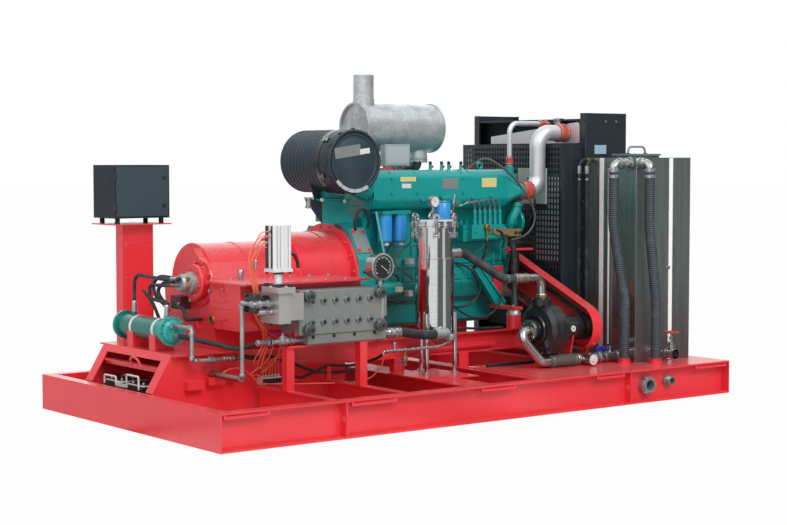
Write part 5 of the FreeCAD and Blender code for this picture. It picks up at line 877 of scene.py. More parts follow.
COOLER_X = -1.948
LOOP_X = -1.850
piece("cooler_straps", white_plastic,
      *[washer("Y", (COOLER_X, y, 0.64), 0.03, 0.0765, 0.079, 64) for y in (0.08, 0.385)])
piece("cooler_bolts", bright_steel,
      hexes("Y", circle_of("Y", (COOLER_X, -0.052, 0.64), 0.089, 10, 18), 0.008, -0.01),
      hexes("Y", circle_of("Y", (COOLER_X, 0.606, 0.64), 0.089, 10, 18), 0.008, 0.01))
piece("cooler_unions", bright_steel,
      *[turned("Z", (COOLER_X, y, 0.735),
          [(0, 0.02), (0.02, 0.02), (0.02, 0.017), (0.075, 0.017), (0.08, 0.014)], 16)
       for y in (0.022, 0.468)],
      stepped("Y", (-1.938, -0.078, 0.678), 8, (-0.018, 0.024), (-0.05, 0.018)),
      stepped("Y", (-1.938, -0.078, 0.612), 8, (-0.02, 0.024), (-0.06, 0.0205)),
      disc("Y", (-1.975, -0.078, 0.672), -0.018, 0.013, 6),
      stepped("X", (-1.835, 0.05, 0.985), 16, (-0.02, 0.017), (-0.075, 0.015)),
      stepped("X", (-1.835, 0.05, 0.943), 16, (-0.02, 0.016), (-0.07, 0.0145)),
      stepped("X", (-1.74, 0.23, 0.79), 6, (-0.018, 0.015)))
piece("cooler_saddle_bolts", bright_steel,
      hexes("Z", rows((-2.012, -1.884), (0.065, 0.125, 0.37, 0.43), (0.61,)), 0.008, 0.007))

# Beside the pump: end cover, hoses by the gear case, plugs, the bent rod over the battery bay

piece("side_covers", block_steel, block((-0.683, -0.705, 0.705), (-0.655, -0.54, 0.88)), edge=0.003)
piece("behind_actuator_hose", hose,
      cord([(-1.15, -0.3, 1.15), (-1.12, -0.3, 1.135), (-1.1, -0.3, 1.095), (-1.094, -0.3, 1.05)],
          0.011, 12, 6))
piece("cooler_hose_loops", hose,
      cord([(-1.855, 0.01, 0.985), (LOOP_X, 0.15, 0.99), (LOOP_X, 0.29, 0.985),
          (LOOP_X, 0.37, 0.93), (LOOP_X, 0.34, 0.85), (LOOP_X, 0.23, 0.8), (LOOP_X, 0.16, 0.76)],
          0.013, 14),
      cord([(-1.87, 0.06, 0.965), (-1.87, 0.18, 0.955), (-1.87, 0.27, 0.9), (-1.86, 0.25, 0.84),
          (LOOP_X, 0.17, 0.8)], 0.013, 14),
      cord([(LOOP_X, 0.52, 0.88), (-1.83, 0.43, 0.8), (-1.82, 0.36, 0.7), (-1.81, 0.33, 0.62)],
          0.012, 14))
piece("valve_block_plugs", bright_steel,
      *[disc("Y", (x, -0.12, 0.905), -0.012, 0.02, 20) for x in (-1.69, -1.61)])
piece("bay_arch", red,
      cord([(-2.15, 0.02, 0.41), (-2.165, 0.035, 0.45), (-2.17, 0.085, 0.47), (-2.165, 0.135, 0.45),
          (-2.15, 0.15, 0.41)], 0.008, 12, 6))

# Engine: rocker flanges, intake ridges, vents, injection lines, ribs and bolts

COLUMN_Y = -0.122
BRACKET_Y = -0.166
BANJO_X = 0.738
VENT_X = (0.291, 0.400, 0.469, 0.588)
COVER_X = (0.120, 0.330, 0.540, 0.750, 0.960)
OIL_FILTER_X = (-0.185, -0.047)
HEAD_X = -0.250 + 0.205 * np.arange(6) + 0.0955
piece("rocker_bolts", bright_steel, hexes("Z", rows(HEAD_X, (0.27,), (1.69,)), 0.012, 0.01))
piece("rocker_flanges", teal,
      *[block((x - 0.088, 0.135, 1.575), (x + 0.088, 0.405, 1.585)) for x in HEAD_X], edge=0.003)
piece("head_bolts", teal,
      hexes("Z", rows(np.concatenate([HEAD_X - 0.05, HEAD_X + 0.05]), (0.098, 0.44), (1.575,)),
          0.011, 0.012))
piece("intake_ridges", teal,
      *[slab("X", x - 0.008, x + 0.008,
          [(-0.11, 1.5), (-0.1185, 1.54), (-0.1185, 1.66), (-0.098, 1.702), (-0.06, 1.7215),
              (0.005, 1.7215), (0.005, 1.71), (-0.07, 1.71)])
       for x in (-0.292, -0.134, 0.098, 0.54, 0.977)], edge=0.003)
piece("intake_ridge_bolts", teal,
      hexes("Y", [(x, -0.1185, z) for x in (-0.134, 0.098, 0.54) for z in (1.545, 1.655)], 0.011,
          -0.009))
piece("intake_end_bosses", teal,
      *[disc("Y", (x, -0.112, z), -0.014, 0.018, 20)
       for x, z in ((0.15, 1.5), (-0.27, 1.51), (0.64, 1.51), (0.82, 1.52))])
piece("intake_vents", teal,
      *[turned("Z", (x, -0.03, 1.716), [(0, 0.015), (0.012, 0.012), (0.04, 0.012), (0.044, 0.008)],
          16) for x in VENT_X])
piece("intake_vent_caps", black,
      *[turned("Z", (x, -0.03, 1.758), [(0, 0.012), (0.02, 0.012), (0.024, 0.008)], 16)
       for x in VENT_X],
      *[disc("X", (x, -0.03, 1.742), 0.026, 0.009) for x in VENT_X])
piece("intake_elbow", teal,
      cord([(-0.3, -0.02, 1.6), (-0.345, -0.028, 1.605), (-0.395, -0.03, 1.65),
          (-0.42, -0.01, 1.72)], 0.098, 28, 6),
      band((-0.322, -0.022, 1.601), (1, 0.1, -0.05), 0.106, 0.02, 28),
      band((-0.42, -0.01, 1.705), (0.3, -0.2, 1), 0.104, 0.02, 28))
piece("intake_elbow_bolts", teal,
      hexes("X", circle_of("X", (-0.333, -0.022, 1.601), 0.094, 8, 10), 0.009, -0.01))
piece("lifting_eye", teal,
      washer("Y", (0.812, 0.006, 1.748), 0.014, 0.018, 0.03, 28),
      block((0.798, 0.006, 1.7), (0.826, 0.02, 1.724)), edge=0.002)
COLUMN_X = 0.650 + 0.050 * np.arange(6)
piece("injection_columns", teal,
      *[turned("Z", (x, COLUMN_Y, 1.296),
          [(0, 0.018), (0.03, 0.018), (0.034, 0.013), (0.09, 0.013), (0.092, 0.016), (0.112, 0.016),
              (0.116, 0.01)], 14) for x in COLUMN_X])
piece("injection_lines", bright_steel,
      *[cord([(x, COLUMN_Y, 1.408), (x, COLUMN_Y, 1.44),
          (x - 0.018, COLUMN_Y, 1.474 + 0.002 * index), (x - 0.06, COLUMN_Y, 1.482 + 0.002 * index),
          (0.56 + 0.012 * index, -0.12, 1.466), (0.5 + 0.008 * index, -0.11, 1.444 + 0.003 * index),
          (0.46, 0.036, 1.43)], 0.0036, 8, 7) for index, x in enumerate(COLUMN_X)])
piece("fuel_gallery", teal,
      block((0.6, -0.15, 1.195), (0.925, -0.0945, 1.3)),
      *[disc("Y", (x, -0.15, z), -0.008, 0.016, 20)
       for x, z in ((0.64, 1.25), (0.78, 1.245), (0.89, 1.25))], edge=0.01)
piece("pump_side_screws", teal,
      hexes("Y", rows(np.linspace(0.585, 0.875, 6), (-0.095,), (1.2, 1.275)), 0.009, -0.009),
      *[disc("Y", (x, -0.095, 1.238), -0.01, 0.018, 20) for x in np.linspace(0.61, 0.85, 4)])
piece("tan_bracket", tan_metal,
      slab("Y", BRACKET_Y, -0.155,
          [(0.79, 1.262), (0.83, 1.268), (1.085, 1.262), (1.085, 1.206), (0.96, 1.206),
              (0.94, 1.222), (0.84, 1.216), (0.796, 1.236)]), edge=0.002)
piece("tan_bracket_bolts", dark_steel,
      disc("Y", (1.025, BRACKET_Y, 1.232), -0.01, 0.014),
      disc("Y", (1.066, BRACKET_Y, 1.232), -0.01, 0.014))
piece("fuel_banjo", brass,
      disc("Y", (BANJO_X, -0.15, 1.282), -0.03, 0.024, 8),
      block((BANJO_X, BRACKET_Y, 1.254), (0.8, -0.156, 1.268)),
      turned("Z", (BANJO_X, BRACKET_Y, 1.262),
          [(0, 0.012), (-0.03, 0.012), (-0.034, 0.007), (-0.095, 0.007)], 12))
piece("fuel_hose", hose,
      cord([(BANJO_X, BRACKET_Y, 1.18), (0.735, -0.16, 1.11), (0.725, -0.12, 1.03),
          (0.72, -0.03, 0.97)], 0.013, 12),
      cord(
          [(0.83, -0.168, 1.262), (0.88, -0.172, 1.235), (0.905, -0.172, 1.17), (0.9, -0.15, 1.12)],
          0.008))
piece("coolant_pump_pipe", teal,
      cord([(1.125, 0.02, 1.51), (1.14, -0.045, 1.48), (1.12, -0.06, 1.4), (1.085, -0.05, 1.33),
          (1.075, -0.02, 1.26), (1.072, 0.04, 1.225)], 0.036, 24),
      band((1.132, -0.062, 1.44), (0.1, 0.1, 1), 0.043, 0.022, 24))
piece("coolant_coupling", hose, cord([(1.13, -0.04, 1.492), (1.148, -0.052, 1.46)], 0.0435, 24, 4))
piece("water_pump_pulley", teal,
      turned("X", (1.13, 0.03, 1.31),
          [(0, 0.05), (0.04, 0.05), (0.044, 0.105), (0.052, 0.108), (0.058, 0.098), (0.064, 0.108),
              (0.072, 0.105), (0.072, 0.06), (0.064, 0.03)], 44))
piece("front_brackets", teal,
      slab("Y", -0.062, -0.01,
          [(0.7, 0.95), (0.77, 0.95), (1.007, 0.69), (1.007, 0.645), (0.94, 0.645)]),
      slab("Y", -0.076, -0.062, [(0.69, 0.958), (0.712, 0.958), (0.952, 0.652), (0.93, 0.645)]),
      slab("Y", -0.076, -0.062, [(0.758, 0.958), (0.782, 0.958), (1.007, 0.702), (1.007, 0.674)]),
      edge=0.003)
piece("engine_side_hoses", hose,
      cord([(1.03, -0.105, 1.215), (1.04, -0.125, 1.08), (1.045, -0.13, 0.9), (1.03, -0.15, 0.76),
          (1.005, -0.185, 0.672)], 0.024, 16),
      cord([(0.5, -0.002, 1.03), (0.62, -0.06, 0.98), (0.72, -0.075, 0.89), (0.735, -0.085, 0.79),
          (0.66, -0.085, 0.705), (0.53, -0.08, 0.675), (0.42, -0.06, 0.7)], 0.0085, 10, 9),
      cord([(0.46, -0.06, 0.7), (0.6, -0.11, 0.61), (0.74, -0.13, 0.59), (0.88, -0.12, 0.66),
          (0.96, -0.11, 0.8), (0.97, -0.12, 0.93), (1.0, -0.125, 1.08)], 0.0085, 10, 9),
      cord([(-0.3, -0.112, 1.06), (-0.19, -0.112, 1.12), (-0.09, -0.075, 1.19)], 0.008),
      cord([(-0.4, -0.122, 0.985), (-0.3, -0.135, 0.96), (-0.235, -0.13, 0.915),
          (-0.21, -0.11, 0.9)], 0.008))
piece("engine_side_lines", teal,
      carried(bent(
          [(0.96, -0.01, 1.17), (0.96, -0.06, 1.17), (0.96, -0.06, 1.01), (0.96, -0.004, 1.0)],
          0.02, 5), 0.0055, 10),
      carried(bent([(0.905, -0.01, 1.08), (0.905, -0.045, 1.08), (0.905, -0.045, 1.0),
          (0.905, -0.004, 0.99)], 0.02, 5), 0.0055, 10),
      carried(bent([(0.28, -0.006, 1.004), (0.28, -0.022, 1.004), (1.05, -0.022, 1.03),
          (1.05, -0.004, 1.03)], 0.012, 5), 0.006, 10),
      cord([(0.7, -0.006, 1.06), (0.75, -0.055, 1.1), (0.8, -0.075, 1.16), (0.815, -0.09, 1.2)],
          0.0055))
piece("block_ribs", teal,
      *[block((x - 0.007, 0.025, 1.08), (x + 0.007, 0.037, 1.4)) for x in (0.16, 0.37, 0.55)],
      block((-0.29, -0.018, 0.985), (1.06, -0.006, 0.999)),
      block((-0.29, -0.018, 0.86), (1.06, -0.006, 0.874)),
      block((-0.29, 0.026, 1.15), (1.06, 0.037, 1.162)), edge=0.002)
piece("block_covers", teal,
      *[block((x - 0.075, 0.02, 1.18), (x + 0.075, 0.037, 1.36)) for x in (0.265, 0.455)],
      *[block((x - 0.075, -0.02, 0.885), (x + 0.075, -0.008, 0.975))
       for x in COVER_X],
      turned("Y", (0.47, 0.02, 1.27), [(0, 0.062), (-0.014, 0.058), (-0.014, 0.03), (-0.02, 0.026)],
          32), edge=0.006)
piece("block_bolts", teal,
      hexes("Y", rows(COVER_X, (-0.02,), (0.93,)), 0.012, -0.01),
      hexes("Y", rows((0.195, 0.335, 0.395, 0.525), (0.02,), (1.195, 1.345)), 0.009, -0.008),
      hexes("Y", rows(np.linspace(-0.22, 1.0, 14), (-0.01,), (0.842,)), 0.009, -0.008))
piece("fuel_filter_shell", FINISHES["filter_paint"],
      turned("Z", (*FUEL_FILTER, 1.275), [(0, 0.0615), (0.19, 0.0615), (0.198, 0.056)], 40))
piece("fuel_filter_head", teal,
      turned("Z", (*FUEL_FILTER, 1.472), [(0, 0.058), (0.014, 0.058), (0.022, 0.05)], 36),
      block((0.31, -0.155, 1.494), (0.396, -0.1, 1.525)), edge=0.005)
piece("intake_plates", label_yellow,
      block((-0.057, -0.1175, 1.634), (0.088, -0.115, 1.668)),
      block((0.726, -0.1175, 1.585), (0.872, -0.115, 1.655)))
piece("intake_silver_plate", label_silver,
      block((0.344, -0.118, 1.575), (0.49, -0.115, 1.655)), edge=0.001)
piece("intake_white_plate", white_plastic, block((-0.043, -0.1175, 1.585), (0.041, -0.115, 1.618)))
piece("oil_filter_caps", white_plastic,
      *[disc("Z", (x, -0.11, 1.1885), -0.022, 0.021, 20) for x in OIL_FILTER_X])
piece("oil_filter_rims", teal,
      *[ring("Z", (x, -0.095, 1.398),
          [(0, 0.05), (-0.012, 0.0545), (0, 0.058), (0.012, 0.058), (0.012, 0.05)], 36)
       for x in OIL_FILTER_X])
piece("fuel_filter_stem", white_plastic,
      carried([(0.44, -0.098, 1.24), (0.44, -0.098, 1.33), (0.44, -0.098, 1.415)], 0.009, 12))
piece("fuel_filter_hose", hose,
      cord([(0.44, -0.098, 1.3), (0.435, -0.1, 1.23), (0.43, -0.08, 1.17), (0.42, 0.02, 1.12)],
          0.011, 12, 7))
piece("housing_cover", grey_metal,
      slab("X", -0.425, -0.305,
          [(-0.0915, 1.116), (-0.099, 1.121), (0.0065, 1.295), (0.0139, 1.29)]), edge=0.002)
piece("housing_cover_bolts", red,
      hexes("Y",
          [(x, y, z) for x in (-0.409, -0.322) for y, z in ((-0.086, 1.14), (-0.0065, 1.272))],
          0.014, -0.012))
piece("housing_cable", hose,
      cord([(-0.448, -0.09, 1.285), (-0.47, -0.11, 1.35), (-0.44, -0.122, 1.425),
          (-0.385, -0.12, 1.432), (-0.345, -0.11, 1.37), (-0.33, -0.08, 1.3)], 0.01))
piece("dipstick", light_teal,
      carried([(-0.284, -0.12, 1.415), (-0.25, -0.12, 1.27), (-0.212, -0.12, 1.114)], 0.009, 10))
piece("white_side_blocks", white_plastic,
      block((0.05, -0.085, 1.02), (0.096, -0.03, 1.062)),
      block((0.044, -0.085, 0.78), (0.085, -0.03, 0.824)),
      block((-0.11, -0.1285, 0.822), (-0.04, -0.1245, 0.862)), edge=0.004)
piece("side_block_stems", teal,
      disc("Y", (0.074, -0.034, 1.041), 0.06, 0.014),
      disc("Y", (0.066, -0.034, 0.802), 0.06, 0.014))
piece("starter_rings", teal,
      washer("X", (-0.235, *STARTER), 0.008, 0.06, 0.067, 36),
      washer("X", (-0.1, *STARTER), 0.006, 0.06, 0.066, 36))
piece("starter_leads", hose,
      cord([(-0.155, -0.064, 0.92), (-0.13, -0.095, 0.955), (-0.08, -0.1, 0.94),
          (-0.03, -0.06, 0.9)], 0.007),
      cord([(-0.29, -0.075, 0.76), (-0.2, -0.125, 0.77), (-0.1, -0.12, 0.745), (0.02, -0.06, 0.74)],
          0.011))
piece("sump_bolts", teal,
      hexes("Z", rows(np.linspace(-0.22, 0.95, 14), (0.062,), (0.752,)), 0.009, -0.01))
piece("sump_flange", teal, block((-0.269, 0.04, 0.748), (0.999, 0.5, 0.7598)), edge=0.003)
piece("mount_caps", zinc,
      *[turned("Z", (x, y, 0.604), [(0, 0.057), (0.014, 0.057), (0.024, 0.05), (0.038, 0.047)], 32)
       for x in (-0.37, 0.962) for y in (-0.222, 0.77)])
piece("mount_bolts", bright_steel,
      hexes("Z", rows((-0.37, 0.962), (-0.222, 0.77), (0.669,)), 0.016, 0.014))
piece("rail_hoses", hose,
      cord([(0.16, -0.215, 0.512), (0.38, -0.222, 0.535), (0.6, -0.215, 0.52),
          (0.86, -0.206, 0.514)], 0.01, 10, 9))
piece("rail_bars", red, block((-0.02, -0.262, 0.392), (0.74, -0.251, 0.426)), edge=0.002)
# A dark slate strip on the deck is painted shade of the gap along it
piece("deck_gap_painted_shade", slate, block((0.52, -0.44, 0.2505), (1.06, -0.41, 0.272)), edge=0.002)

# Muffler, stack, air cleaner

# A dark disc closes the stack's mouth as painted shade of its inside
piece("stack_inside_painted_shade", dark_steel, stepped("Z", (-0.013, 0.4, 2.14), 32, (0.002, 0.0735)))
piece("muffler_flange_bolts", bright_steel,
      hexes("Z", circle_of("Z", (*RISER, 1.796), 0.074, 8, 10), 0.009, 0.009),
      hexes("Z", circle_of("Z", (*RISER, 1.78), 0.074, 8, 10), 0.009, -0.009))
CLEANER = (-0.540, -0.200, 1.782)
CLIP_TURNS = (20, 130, 190, 244, 312)
piece("cleaner_cap", cleaner_cap_plastic,
      lathe("Y", CLEANER,
          [(0, 0), (-0.007, 0), (-0.009, 0.16), (-0.003, 0.168), (-0.003, 0.184), (-0.012, 0.19),
              (-0.012, 0.203), (0, 0.205), (0, 0)], 64))
piece("cleaner_front_ring", FINISHES["cleaner_plastic"],
      ring("Y", CLEANER,
          [(0.01, 0.206), (-0.012, 0.208), (-0.018, 0.214), (-0.018, 0.222), (-0.01, 0.23),
              (0.014, 0.2315), (0.014, 0.206)], 72),
      marks(CLEANER, (-0.01, 0.001, 0.2295), (0.01, 0.026, 0.2385), range(0, 360, 30)))
# Pale arcs on the ring's lower rim are a painted highlight
piece("cleaner_ring_painted_highlight", pale_grey,
      swung(many(slab("Y", -0.0205, -0.01, [(-0.027, 0.1965), (0.027, 0.1965), (0.03, 0.22),
                                            (0, 0.2235), (-0.03, 0.22)]), [CLEANER]),
            "Y", CLEANER, (156, 172.5, 189, 205.5, 222)), edge=0.001)
piece("cleaner_silver_plate", label_silver,
      marks(CLEANER, (-0.165, -0.0125, 0.04), (0.062, -0.007, 0.118), (-8,)))
piece("cleaner_white_plate", white_plastic,
      marks(CLEANER, (0.055, -0.0135, 0.042), (0.14, -0.007, 0.08), (-8,)))
piece("cleaner_clip_plates", black,
      marks(CLEANER, (-0.02, 0.075, 0.228), (0.02, 0.125, 0.238), CLIP_TURNS), edge=0.003)
piece("cleaner_band", black,
      ring("Y", (CLEANER[0], -0.085, CLEANER[2]),
          [(0, 0.2265), (0.001, 0.23), (0.058, 0.23), (0.06, 0.2225)], 72))
piece("cleaner_clips", bright_steel,
      *[marks(CLEANER, (-half, low, 0.236), (half, high, 0.243), CLIP_TURNS)
        for half, low, high in ((0.021, 0.073, 0.079), (0.021, 0.119, 0.125), (0.006, 0.09, 0.108))],
      edge=0.001)
piece("cleaner_ribs", FINISHES["cleaner_plastic"],
      *[ring("Y", (CLEANER[0], y, CLEANER[2]),
          [(0, 0.223), (0.006, 0.2285), (0.018, 0.2285), (0.024, 0.223)], 72)
       for y in np.arange(-0.01, 0.385, 0.043)])

# Beside the engine: throttle cable, belt tensioner, cable past the filter, sender

piece("throttle_cable", worn_rubber,
      cord([(0.62, -0.06, 1.722), (0.735, -0.12, 1.8), (0.858, -0.15, 1.761), (1.0, -0.15, 1.669),
          (1.092, -0.15, 1.584), (1.196, -0.15, 1.459), (1.238, -0.15, 1.358),
          (1.208, -0.15, 1.266), (1.125, -0.152, 1.206), (0.98, -0.166, 1.176)], 0.008))
piece("tensioner_plate", red, block((1.0, -0.12, 1.09), (1.25, -0.06, 1.106)), edge=0.003)
piece("tensioner_post", black, carried([(1.1, -0.06, 1.092), (1.1, -0.06, 0.93)], 0.042, 28))
piece("filter_side_cable", worn_rubber,
      cord([(0.007, -0.16, 1.19), (-0.077, -0.16, 1.134), (-0.146, -0.16, 1.077),
          (-0.123, -0.16, 1.018), (-0.049, -0.16, 0.964), (0.026, -0.16, 0.916)], 0.007))
piece("sender_stem", worn_rubber, carried([(0.296, -0.3, 1.468), (0.286, -0.3, 1.379)], 0.008, 12))
piece("sender_cap", bright_steel, carried([(0.31, -0.3, 1.538), (0.296, -0.3, 1.468)], 0.01, 12))

# Bracket and valve of the air cleaner, junction box, sleeve of the muffler

piece("cleaner_gusset", slate,
      slab("Y", 0.052, 0.06, [(-0.79, 1.512), (-0.64, 1.512), (-0.64, 1.332)]))
piece("cleaner_bracket_face", teal,
      block((-0.64, 0.05, 1.332), (-0.4, 0.06, 1.5)), block((-0.7, 0.02, 1.5), (-0.4, 0.06, 1.512)),
      edge=0.003)
piece("bracket_screws", white_plastic,
      *[disc("Y", (x, 0.02, z), -0.01, 0.013) for x, z in ((-0.668, 1.506), (-0.468, 1.494))])
piece("cleaner_valve", bright_steel,
      turned("Z", (-0.755, 0.06, 1.525),
          [(0, 0.034), (-0.01, 0.034), (-0.012, 0.02), (-0.062, 0.02), (-0.066, 0.026),
              (-0.076, 0.026), (-0.08, 0.01)], 20))
junction_low, junction_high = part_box("junction_box")
piece("junction_lid", FINISHES["light_grey_paint"],
      block((junction_low[0] - 0.004, junction_low[1] - 0.008, 1.749),
          (junction_high[0] + 0.004, junction_low[1], junction_high[2] + 0.004)), edge=0.003)
piece("junction_face", pale_grey,
      block((junction_low[0] + 0.01, junction_low[1] - 0.0095, 1.765),
          (junction_high[0] - 0.01, junction_low[1] - 0.008, junction_high[2] - 0.012)))
piece("junction_shelf", red, block((-0.085, 0.095, 1.712), (0.035, 0.119, 1.734)), edge=0.003)
piece("muffler_inlet_sleeve", FINISHES["cast_aluminium"],
      ring("Z", (*RISER, 1.8),
          [(0, 0.067), (0, 0.08), (0.012, 0.082), (0.07, 0.074), (0.095, 0.074), (0.095, 0.066)],
          40))
piece("junction_latches", bright_steel,
      *[block((x - 0.006, junction_low[1] - 0.012, 1.738), (x + 0.006, junction_low[1] + 0.01, 1.752))
       for x in (junction_low[0] + 0.02, junction_high[0] - 0.02)], edge=0.001)

# Radiator: slotted fan guard, cables, hoses, clamps, filler

COOLANT_Y = 0.105
CHARGE_Y = -0.095
RIM = 0.031
guard_low, guard_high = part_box("fan_guard")
gx, gy0, gy1, gz0, gz1 = guard_low[0], guard_low[1], guard_high[1], guard_low[2], guard_high[2]
bars = rows((gx,), np.arange(gy0 + 0.030, gy1 - 0.028, 0.034), (gz0 + 0.03,))
rails = rows((gx,), (gy0 + 0.02,), np.arange(gz0 + 0.040, gz1 - 0.035, 0.045))
piece("slotted_guard", slate,
      many(block((0, -0.009, 0), (0.003, 0.009, gz1 - gz0 - 0.06)), bars),
      many(block((0.0002, 0, -0.0075), (0.0028, gy1 - gy0 - 0.04, 0.0075)), rails),
      block((gx, gy0, gz0 + RIM), (gx + 0.003, gy0 + 0.028, gz1 - RIM)),
      block((gx, gy1 - 0.028, gz0 + RIM), (gx + 0.003, gy1, gz1 - RIM)),
      block((gx, gy0, gz0), (gx + 0.003, gy1, gz0 + RIM)),
      block((gx, gy0, gz1 - RIM), (gx + 0.003, gy1, gz1)), stands_for=("fan_guard",))
# Pale sheets behind the slots stand for the light that shows through the guard: painted light
piece("guard_painted_light_behind", pale_grey,
      block((gx + 0.006, gy0 + 0.006, 1.0), (gx + 0.008, 0.02, 1.66)),
      block((gx + 0.006, 0.775, 1.6), (gx + 0.008, gy1 - 0.006, gz1 - 0.006)))
piece("guard_window", pale_green,
      block((gx - 0.014, -0.128, 1.446), (gx, 0.205, 1.727)), edge=0.003)
piece("guard_window_edge", black,
      block((gx - 0.016, -0.136, 1.418), (gx, 0.213, 1.446)), edge=0.002)
piece("radiator_face_bolts", black,
      hexes("X", rows((1.6,), (-0.312, 0.995), np.linspace(0.4, 2.1, 9)), 0.009, -0.007),
      hexes("X", rows((gx,), np.linspace(gy0 + 0.06, gy1 - 0.06, 7), (gz1 - 0.016, gz0 + 0.016)),
          0.008, -0.006))
piece("shroud_straps", slate,
      block((1.47, -0.3025, 0.69), (1.5, -0.2979, 1.915)),
      block((1.388, -0.3015, 1.885), (1.6, -0.2979, 1.915)), edge=0.001)
piece("panel_fold", slate, block((1.6, -0.3335, 0.252), (1.632, -0.3299, 2.156)), edge=0.002)
piece("panel_bolts", bright_steel,
      hexes("Y", rows((1.818, 1.933), (-0.33,), (2.094,)), 0.011, -0.008))
piece("panel_plate", label_blue, block((1.7, -0.3325, 1.838), (1.826, -0.33, 1.908)), edge=0.001)
piece("header_filler", bright_steel,
      turned("Z", (1.634, 0.01, 2.07),
          [(0, 0.03), (0.03, 0.03), (0.034, 0.042), (0.05, 0.042), (0.056, 0.03)], 28),
      band((1.56, CHARGE_Y, 2.066), (0, 1, 0.2), 0.009, 0.03, 10))
piece("charge_hoses", red_silicone,
      band((1.552, CHARGE_Y, 2.004), "X", 0.07, 0.094, 32),
      band((1.185, CHARGE_Y, 1.556), "X", 0.07, 0.1, 32),
      band((1.197, COOLANT_Y, 1.785), "Z", 0.027, 0.066, 24),
      band((1.545, COOLANT_Y, 2.078), "X", 0.027, 0.08, 24))
piece("charge_clamps", bright_steel,
      *[band((x, CHARGE_Y, z), "X", 0.0735, 0.014, 32)
       for x, z in ((1.52, 2.004), (1.584, 2.004), (1.15, 1.556), (1.22, 1.556))],
      *[band((1.197, COOLANT_Y, z), "Z", 0.0295, 0.011, 24) for z in (1.763, 1.808)],
      *[band((x, COOLANT_Y, 2.078), "X", 0.0295, 0.011, 24) for x in (1.515, 1.575)])
piece("guard_cables", black,
      *[cord([(gx - 0.004, y0, z0), (gx - 0.03, y1, z1), (gx - 0.03, y2, z2), (gx - 0.024, y3, z3),
          (gx - 0.004, y4, z4)], 0.0085)
       for y0, z0, y1, z1, y2, z2, y3, z3, y4, z4 in (
              (0.56, 1.81, 0.4, 1.74, 0.27, 1.66, 0.13, 1.55, 0.01, 1.42),
              (0.47, 1.35, 0.42, 1.26, 0.31, 1.187, 0.13, 1.242, 0.035, 1.348),
              (0.035, 1.348, -0.02, 1.44, 0.0, 1.52, 0.05, 1.6, 0.1, 1.66))])

# Booster pump: flange bolts, casing ribs, sight plug; clamps along the water line

piece("booster_inlet_flange", stainless,
      ring("X", (0.742, *BOOSTER),
          [(0, 0.04), (0, 0.081), (-0.016, 0.081), (-0.018, 0.078), (-0.018, 0.04)], 48))
piece("booster_inlet_bolts", dark_steel,
      hexes("X", circle_of("X", (0.724, *BOOSTER), 0.064, 4, 45), 0.013, -0.014))
piece("booster_rim_bolts", black,
      hexes("X", circle_of("X", (0.834, *BOOSTER), 0.184, 12, 15), 0.01, -0.01),
      hexes("Z", circle_of("Z", (*BOOSTER_OUTLET, 0.758), 0.06, 4, 45), 0.012, 0.012),
      hexes("Z", circle_of("Z", (*BOOSTER_OUTLET, 0.716), 0.06, 4, 45), 0.012, -0.016))
piece("outlet_joint", dark_steel,
      ring("Z", (*BOOSTER_OUTLET, 0.7345),
          [(0, 0.0745), (0.0015, 0.0775), (0.0045, 0.0775), (0.006, 0.0745)], 40))
piece("volute_rings", black,
      ring("X", (0.78, *BOOSTER), [(0, 0.1), (0, 0.118), (0.01, 0.122), (0.01, 0.1)], 48),
      ring("X", (0.88, *BOOSTER), [(0, 0.1995), (0.004, 0.2035), (0.012, 0.2035), (0.016, 0.1995)],
          64))
piece("booster_drain_plug", brass, disc("X", (0.83, -0.7, 0.362), -0.014, 0.01, 6))
piece("booster_sight_plug", white_plastic,
      ring("Y", (1.095, -0.737, 0.53), [(0, 0.011), (0, 0.024), (-0.01, 0.023), (-0.01, 0.011)], 28))
piece("booster_sight_glass", light_teal, disc("Y", (1.095, -0.737, 0.53), -0.007, 0.011))
piece("delivery_joints", brushed_gold,
      band((0.665, *DELIVERY), "X", 0.036, 0.11, 28),
      band((*BOOSTER_OUTLET, 0.782), "Z", 0.041, 0.034, 6))
piece("delivery_clamps", bright_steel,
      *[band((x, *DELIVERY), "X", 0.0385, 0.01, 28) for x in (0.618, 0.7)],
      band((0.596, *DELIVERY), "X", 0.0365, 0.016, 28),
      band((0.512, *DELIVERY), "X", 0.0365, 0.008, 28))
piece("filter_inlet_joint", bright_steel,
      turned("X", (0.12, -0.47, 1.116),
          [(0, 0.04), (0.018, 0.04), (0.018, 0.034), (0.06, 0.034), (0.062, 0.038), (0.085, 0.038)],
          28))
piece("filter_outlet_joint", zinc,
      turned("X", (-0.16, -0.65, 0.558),
          [(0, 0.038), (0.05, 0.038), (0.055, 0.034), (0.07, 0.034), (0.074, 0.04), (0.11, 0.04)],
          28), band((-0.02, -0.65, 0.532), "Z", 0.038, 0.04, 28))
piece("suction_clamps", bright_steel,
      *[band((x, *SUCTION), "X", 0.0485, 0.012, 24) for x in (0.88, 1.105)])
piece("suction_sleeve", worn_rubber,
      carried([(0.86, *SUCTION), (0.868, *SUCTION), (1.0, *SUCTION), (1.124, *SUCTION),
          (1.132, *SUCTION)], np.array([0.042, 0.046, 0.047, 0.046, 0.043]), 28))
piece("bearing_rings", black,
      ring("X", (0.962, *BOOSTER), [(0, 0.08), (0, 0.112), (0.022, 0.112), (0.026, 0.08)], 48),
      hexes("X", circle_of("X", (0.962, *BOOSTER), 0.098, 8, 22), 0.01, -0.01),
      ring("X", (1.17, *BOOSTER), [(0, 0.07), (0.004, 0.096), (0.02, 0.096), (0.024, 0.07)], 48))
